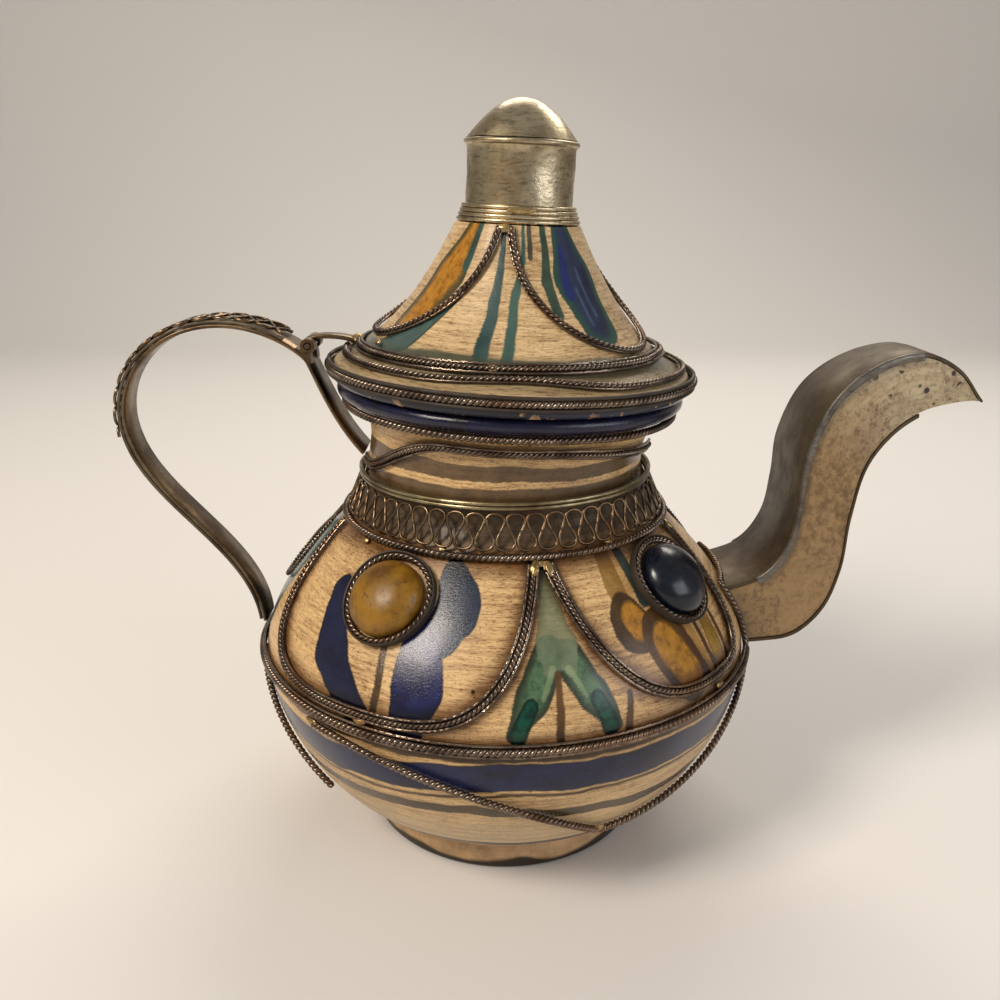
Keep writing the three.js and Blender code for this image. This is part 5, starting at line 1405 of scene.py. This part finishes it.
def smooth_line(pairs, part):
    """Curve through every point, which gives each one room in keeping with its spacing."""
    points = [flat(BELLY_RADIUS + out, z) for out, z in pairs]
    place = min(max(part, 0), 1) * (len(points) - 1)
    i = min(int(place), len(points) - 2)
    before = points[i - 1] if i else points[0] * 2 - points[1]
    after = points[i + 2] if i + 2 < len(points) else points[-1] * 2 - points[-2]
    a, b = points[i], points[i + 1]
    gaps = [(q - p).length ** 0.5 for p, q in ((before, a), (a, b), (b, after))]
    start = ((a - before) / gaps[0] - (b - before) / (gaps[0] + gaps[1]) + (b - a) / gaps[1]) * gaps[1]
    end = ((b - a) / gaps[1] - (after - a) / (gaps[1] + gaps[2]) + (after - b) / gaps[2]) * gaps[1]
    t = place - i
    return (a * (2 * t**3 - 3 * t**2 + 1) + start * (t**3 - 2 * t**2 + t)
            + b * (3 * t**2 - 2 * t**3) + end * (t**3 - t**2))


def spout_half(part):
    return lerp(SPOUT_ROOT_HALF, 5.6, ease(part, 0.48, 1.04))


def spout_point(part, share, inset, y):
    low, high = smooth_line(LOWER, part), smooth_line(UPPER, part)
    span = (high - low).length
    across = (high - low) / span
    if share < 0.5:
        point = low + across * (share * span + min(inset, span * 0.4))
    else:
        point = high + across * ((share - 1) * span - min(inset, span * 0.4))
    return Vector((point.x, y, point.z))


BONE, STRIP, MOUTH_START = 2.2, 1.1, 0.79
print("spout tip at", tuple(round(c, 1) for c in smooth_line(UPPER, 1)))

# %% Bone and sheet
bone, shader = new_material("Camel bone")
place = own_place()
run = attribute("run", "Vector")
fibre = noise(vector("MULTIPLY", run, (90, 700, 0)), 1.0, 5.0, 0.62)
cloud = noise(place, 75.0, 5.0, 0.65)
grain = noise(place, 700.0, 4.0, 0.7)
along = add_node("ShaderNodeSeparateXYZ", {0: run}).outputs["X"]
# The bone's own brown-tan, set darker as painted shade for the shadow the spout's sides lie in, and paler
# towards the tip.
near_tip = smooth(along, 0.07, 0.105)
tone = mix(near_tip, "93764c", "b3a381")
tone = mix(smooth(fibre, 0.38, 0.7, 0.0, 0.5), tone, "7d6240")
tone = mix(smooth(cloud, 0.42, 0.66, 0.0, 0.55), tone, "7a6142")
tone = mix(times(smooth(grain, 0.48, 0.64), smooth(cloud, 0.34, 0.6, 0.25, 0.7)), tone, "553c20")
middle = smooth(number("ABSOLUTE", number("SUBTRACT", along, 0.062)), 0.008, 0.03, 1.0, 0.0)
mottle = times(middle, smooth(noise(place, 420.0, 6.0, 0.8), 0.44, 0.6))
tone = mix(times(mottle, 0.65), tone, "523714")
holes = add_node("ShaderNodeTexVoronoi", {"Vector": place, "Scale": 240.0,
                                          "Randomness": 1.0}).outputs["Distance"]
pits = times(smooth(holes, 0.16, 0.24, 1.0, 0.0), smooth(along, 0.088, 0.1))
pits = times(pits, smooth(noise(place, 170.0, 1.0), 0.46, 0.52))
tone = mix(pits, tone, "1c140d")
rough = smooth(fibre, 0.2, 0.8, 0.42, 0.58)
grain = number("MULTIPLY_ADD", pits, -6.0, number("MULTIPLY_ADD", cloud, 1.5, fibre))
feed(shader, {"Base Color": tone, "Roughness": rough, "Normal": bumped(grain, 0.00018, 0.6),
              "Coat Weight": 0.15})
print("bone has", len(tree.nodes), "nodes")

# %% Spout pieces
belly_rows = [(body_radius(z) + 0.35, z) for z in (lerp(10, SHOULDER_HEIGHT, i / 60) for i in range(61))]
belly = turned("belly cutter", [(0, 10)] + belly_rows + [(0, SHOULDER_HEIGHT)], None)
SPOUT_STEPS = 110


def stamp_run(piece):
    """Stores where each point lies along and across the spout, for the bone's grain."""
    line = [(smooth_line(LOWER, i / 200) + smooth_line(UPPER, i / 200)) / 2 for i in range(201)]
    reached = distances(line)
    stamps = piece.data.attributes.new("run", "FLOAT_VECTOR", "POINT")
    for vertex, value in zip(piece.data.vertices, stamps.data):
        point = vertex.co / MM
        point.y = 0
        i = min(range(201), key=lambda k: (line[k] - point).length_squared)
        here = (line[min(i + 1, 200)] - line[max(i - 1, 0)]).normalized()
        gap = point - line[i]
        value.vector = ((reached[i] + gap.dot(here)) * MM, gap.dot(Vector((-here.z, 0, here.x))) * MM, 0)


def spout_plate(name, sign):
    rings = []
    for i in range(SPOUT_STEPS + 1):
        part = 0.985 * i / SPOUT_STEPS
        outer = sign * (spout_half(part) - 0.12)
        inner = outer - sign * (BONE - 0.12)
        low, high = (spout_point(part, end, STRIP + SEAT * 0.9, 0) for end in (0, 1))
        ring = []
        for share in (0, 0.02, 0.12, 0.3, 0.5, 0.7, 0.88, 0.98, 1):
            crown = 0.22 * (1 - (2 * share - 1) ** 4)
            ring.append(low.lerp(high, share) + Vector((0, outer - sign * (0.22 - crown), 0)))
        rings.append(ring + [high + Vector((0, inner, 0)), low + Vector((0, inner, 0))])
    piece = bored(loft(name, rings, bone, sharp=35), belly)
    stamp_run(piece)
    return piece


def spout_strip(name, share, end):
    rings = []
    for i in range(SPOUT_STEPS + 1):
        part = end * i / SPOUT_STEPS
        half = spout_half(part)
        rings.append([spout_point(part, share, inset, y) for inset, y in (
            (0.25, -half), (0, -half + 0.3), (0, half - 0.3), (0.25, half),
            (STRIP, half), (STRIP, -half))])
    return bored(loft(name, rings, strip_metal, sharp=50), belly)


TRIM_SHEET, TRIM_SIDE = 0.8, 2.3


def spout_trim(name, sign):
    rings = []
    for i in range(81):
        part = lerp(0.17, 0.8, i / 80)
        inner = sign * (spout_half(part) + 0.04)
        outer = inner + sign * TRIM_SHEET
        rings.append([spout_point(part, 1, inset, y) for inset, y in (
            (0.0, inner), (0.0, outer - sign * 0.25), (0.25, outer), (TRIM_SIDE - 0.25, outer),
            (TRIM_SIDE, outer - sign * 0.25), (TRIM_SIDE, inner))])
    return loft(name, rings, trim_metal, sharp=50)


for side, sign in (("front", -1), ("back", 1)):
    dress(spout_plate("bone plate " + side, sign), "pot", "bone", "spout_bone_" + side)
    dress(spout_trim("spout edge trim " + side, sign), "pot", "silver_wire", "spout_trim_" + side)
dress(spout_strip("spout back strip", 1, 1.0), "pot", "spout_strip_metal", "spout_upper_strip")
dress(spout_strip("spout belly strip", 0, MOUTH_START), "pot", "spout_strip_metal", "spout_lower_strip")
bpy.data.objects.remove(belly)
root_low, root_high = LOWER[1][1] - SEAT - ROOT_WIRE - 0.2, UPPER[1][1] + ROOT_WIRE
root_half = SPOUT_ROOT_HALF + SEAT + ROOT_WIRE
corners = [(root_half, root_low), (root_half, root_high), (-root_half, root_high), (-root_half, root_low)]
run = []
for (y, z), (next_y, next_z) in zip(corners, corners[1:] + corners[:1]):
    for i in range(24):
        across, height = lerp(y, next_y, (i + 0.5) / 24), lerp(z, next_z, (i + 0.5) / 24)
        aside = math.degrees(math.asin(across / body_radius(height)))
        run.append(place_on(body_radius, 90 + aside, height, ROOT_WIRE + SEAT)[:2])
rope("spout root rope", run, ROOT_WIRE, "pot", ["spout_root_wire"], endless=True, turn=3.4)

# %% [markdown]
# ## Solder
#
# Where wires meet, the smith let a drop of solder run into the joint. It froze as a low
# lump, never round, so each drop here is a flattened ball whose points are pushed about by
# smooth noise. All drops on one body are one mesh.

# %% Solder drops


def solder_drops(name, body, spots):
    """Lumps at (point, normal, length, width, turn) with the length laid along the turn."""
    lumps = bmesh.new()
    for n, (point, normal, length, width, turn) in enumerate(spots):
        facing = normal.to_track_quat("Z", "Y").to_matrix()
        ball = bmesh.ops.create_icosphere(lumps, subdivisions=3, radius=1.0)["verts"]
        for vertex in ball:
            way = vertex.co.normalized()
            swell = 1 + 0.34 * mathutils_noise.noise(way * 1.4 + Vector((n * 3.7, 1.3, 0.7)))
            flat_way = Vector((way.x * length, way.y * width, way.z * width * 0.62)) * swell
            flat_way.rotate(Matrix.Rotation(math.radians(turn), 3, "Z"))
            vertex.co = (point + facing @ flat_way) * MM
    mesh = bpy.data.meshes.new(name)
    lumps.to_mesh(mesh)
    lumps.free()
    return dress(finish_mesh(name, mesh, solder_metal, 80), body, "rope_metal")


def drop_at(radius_at, angle, height, lift, length, width, turn, leaning=False):
    return *on_form(radius_at, [(angle, height)], lift, leaning)[0], length, width, turn


pot_drops = []
for mirror in (lambda a: a, behind):
    for angle, height, lift, length, width, turn in (
            (8.6, PETAL_TOP - 0.8, 1.3, 2.2, 1.2, 80), (12.9, PETAL_TOP - 0.9, 1.3, 2.2, 1.2, 100),
            (10.8, PETAL_TOP + 0.3, 0.9, 1.8, 1.0, 0), (-75.4, PETAL_TOP - 0.6, 1.2, 1.5, 1.0, 90),
            (72.4, PETAL_TOP - 0.6, 1.2, 1.5, 1.0, 90), (-43.2, SWAG_TOP + 0.4, 1.2, 2.2, 1.1, 0),
            (23.2, SWAG_FOOT + 0.8, 1.2, 1.9, 1.2, 20), (-52, COLLAR_ROPE_HEIGHT - 1.2, 1.0, 1.4, 0.8, 0),
            (-21, COLLAR_ROPE_HEIGHT + 1.0, 1.2, 1.3, 0.8, 0),
            (36, COLLAR_ROPE_HEIGHT + 1.0, 1.3, 1.4, 0.8, 0),
            (-30, PETAL_BOTTOM - 1.6, 1.0, 1.8, 0.8, 0), (52, PETAL_BOTTOM - 1.2, 1.0, 1.8, 0.8, 0)):
        pot_drops.append(drop_at(body_radius, mirror(angle), height, lift, length, width, turn))
solder_drops("pot solder", "pot", pot_drops)
lid_drops = [drop_at(lid_radius, -11, CONE_TOP.y - 1.2, 0.9, 2.4, 1.1, 0, True),
             drop_at(lid_radius, -7, CONE_FOOT.y - 0.8, 0.9, 1.8, 1.0, 0, True),
             drop_at(lid_radius, -62, CONE_FOOT.y + 0.6, 0.9, 1.6, 0.9, 0, True),
             drop_at(lid_radius, 170, CONE_FOOT.y - 0.6, 0.9, 1.8, 0.9, 0, True)]
for angle, height, length in ((2, 3.4, 3.4), (-16, 1.2, 3.0), (168, 2.4, 3.0)):
    outward = outward_at(math.radians(angle))
    point = lean(outward * (FINIAL_RADIUS + 1.1) + UP * (collar_foot + height))
    lid_drops.append((point, outward, length, 0.9, 0))
solder_drops("lid solder", "lid", lid_drops)

# %% [markdown]
# ## Leaf under the handle
#
# On the shoulder, half hidden by the strap, a thin rope is bent to a leaf and soldered down.

# %% Shoulder leaf
LEAF_HEIGHT, LEAF_HALF_HEIGHT, LEAF_WIDTH, LEAF_ROPE = 84, 8.5, 15, 0.6
run = []
for turn in whole_turn(80):
    half = math.degrees(LEAF_WIDTH / body_radius(LEAF_HEIGHT)) / 2
    across = half * math.cos(turn) * (1 - 0.35 * math.sin(turn))
    height = LEAF_HEIGHT + LEAF_HALF_HEIGHT * math.sin(turn)
    run.append(place_on(body_radius, -90 + across, height, SEAT + LEAF_ROPE)[:2])
rope("wound leaf", run, LEAF_ROPE, "pot", ["shoulder_leaf"], endless=True, turn=2.4)

# %% [markdown]
# ## Tongue of the hinge
#
# The tongue is one strip, rolled round the pin between the knuckles and laid in a low arch
# over the flange to the rope at the cone's foot, where a drop of solder holds it. Its
# centre line is drawn first; the strip's section is then set across it at every step.

# %% Lid tongue
TONGUE_HALF, TONGUE_SHEET, EYE_RADIUS = 2.7, 1.15, 1.5
line = []
for i in range(25):
    turn = math.radians(-35 - 235 * i / 24)
    line.append(hinge + flat(EYE_RADIUS * math.cos(turn), EYE_RADIUS * math.sin(turn)))
arch_end = lean(flat(-(CONE_FOOT.x + 3.4), CONE_FOOT.y - 1.3))
start = line[-1]
leave, reach = start + flat(3.6, 1.1), arch_end + flat(-3.4, 1.2)
arch = geometry.interpolate_bezier(start, leave, reach, arch_end, 24)
line += [point.copy() for point in arch[1:]]
rings = []
for i, point in enumerate(line):
    outward = edge_of(line, i)
    section = sheet_section(TONGUE_HALF, TONGUE_SHEET / 2, 0.2)
    rings.append([point + outward * lift + Vector((0, y, 0)) for y, lift in section])
dress(loft("hinge tongue", rings, strap_metal, sharp=50), "lid", "strap_metal", "lid_tongue")
solder_drops("tongue solder", "lid", [(arch_end + flat(0.4, 0.1), UP, 1.7, 2.6, 0)])

# %% Hinge metal
for name in ("hinge_knuckle_front", "hinge_knuckle_back", "hinge_pin"):
    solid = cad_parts[name]
    solid.data.materials.clear()
    solid.data.materials.append(wire_metal if name == "hinge_pin" else strap_metal)
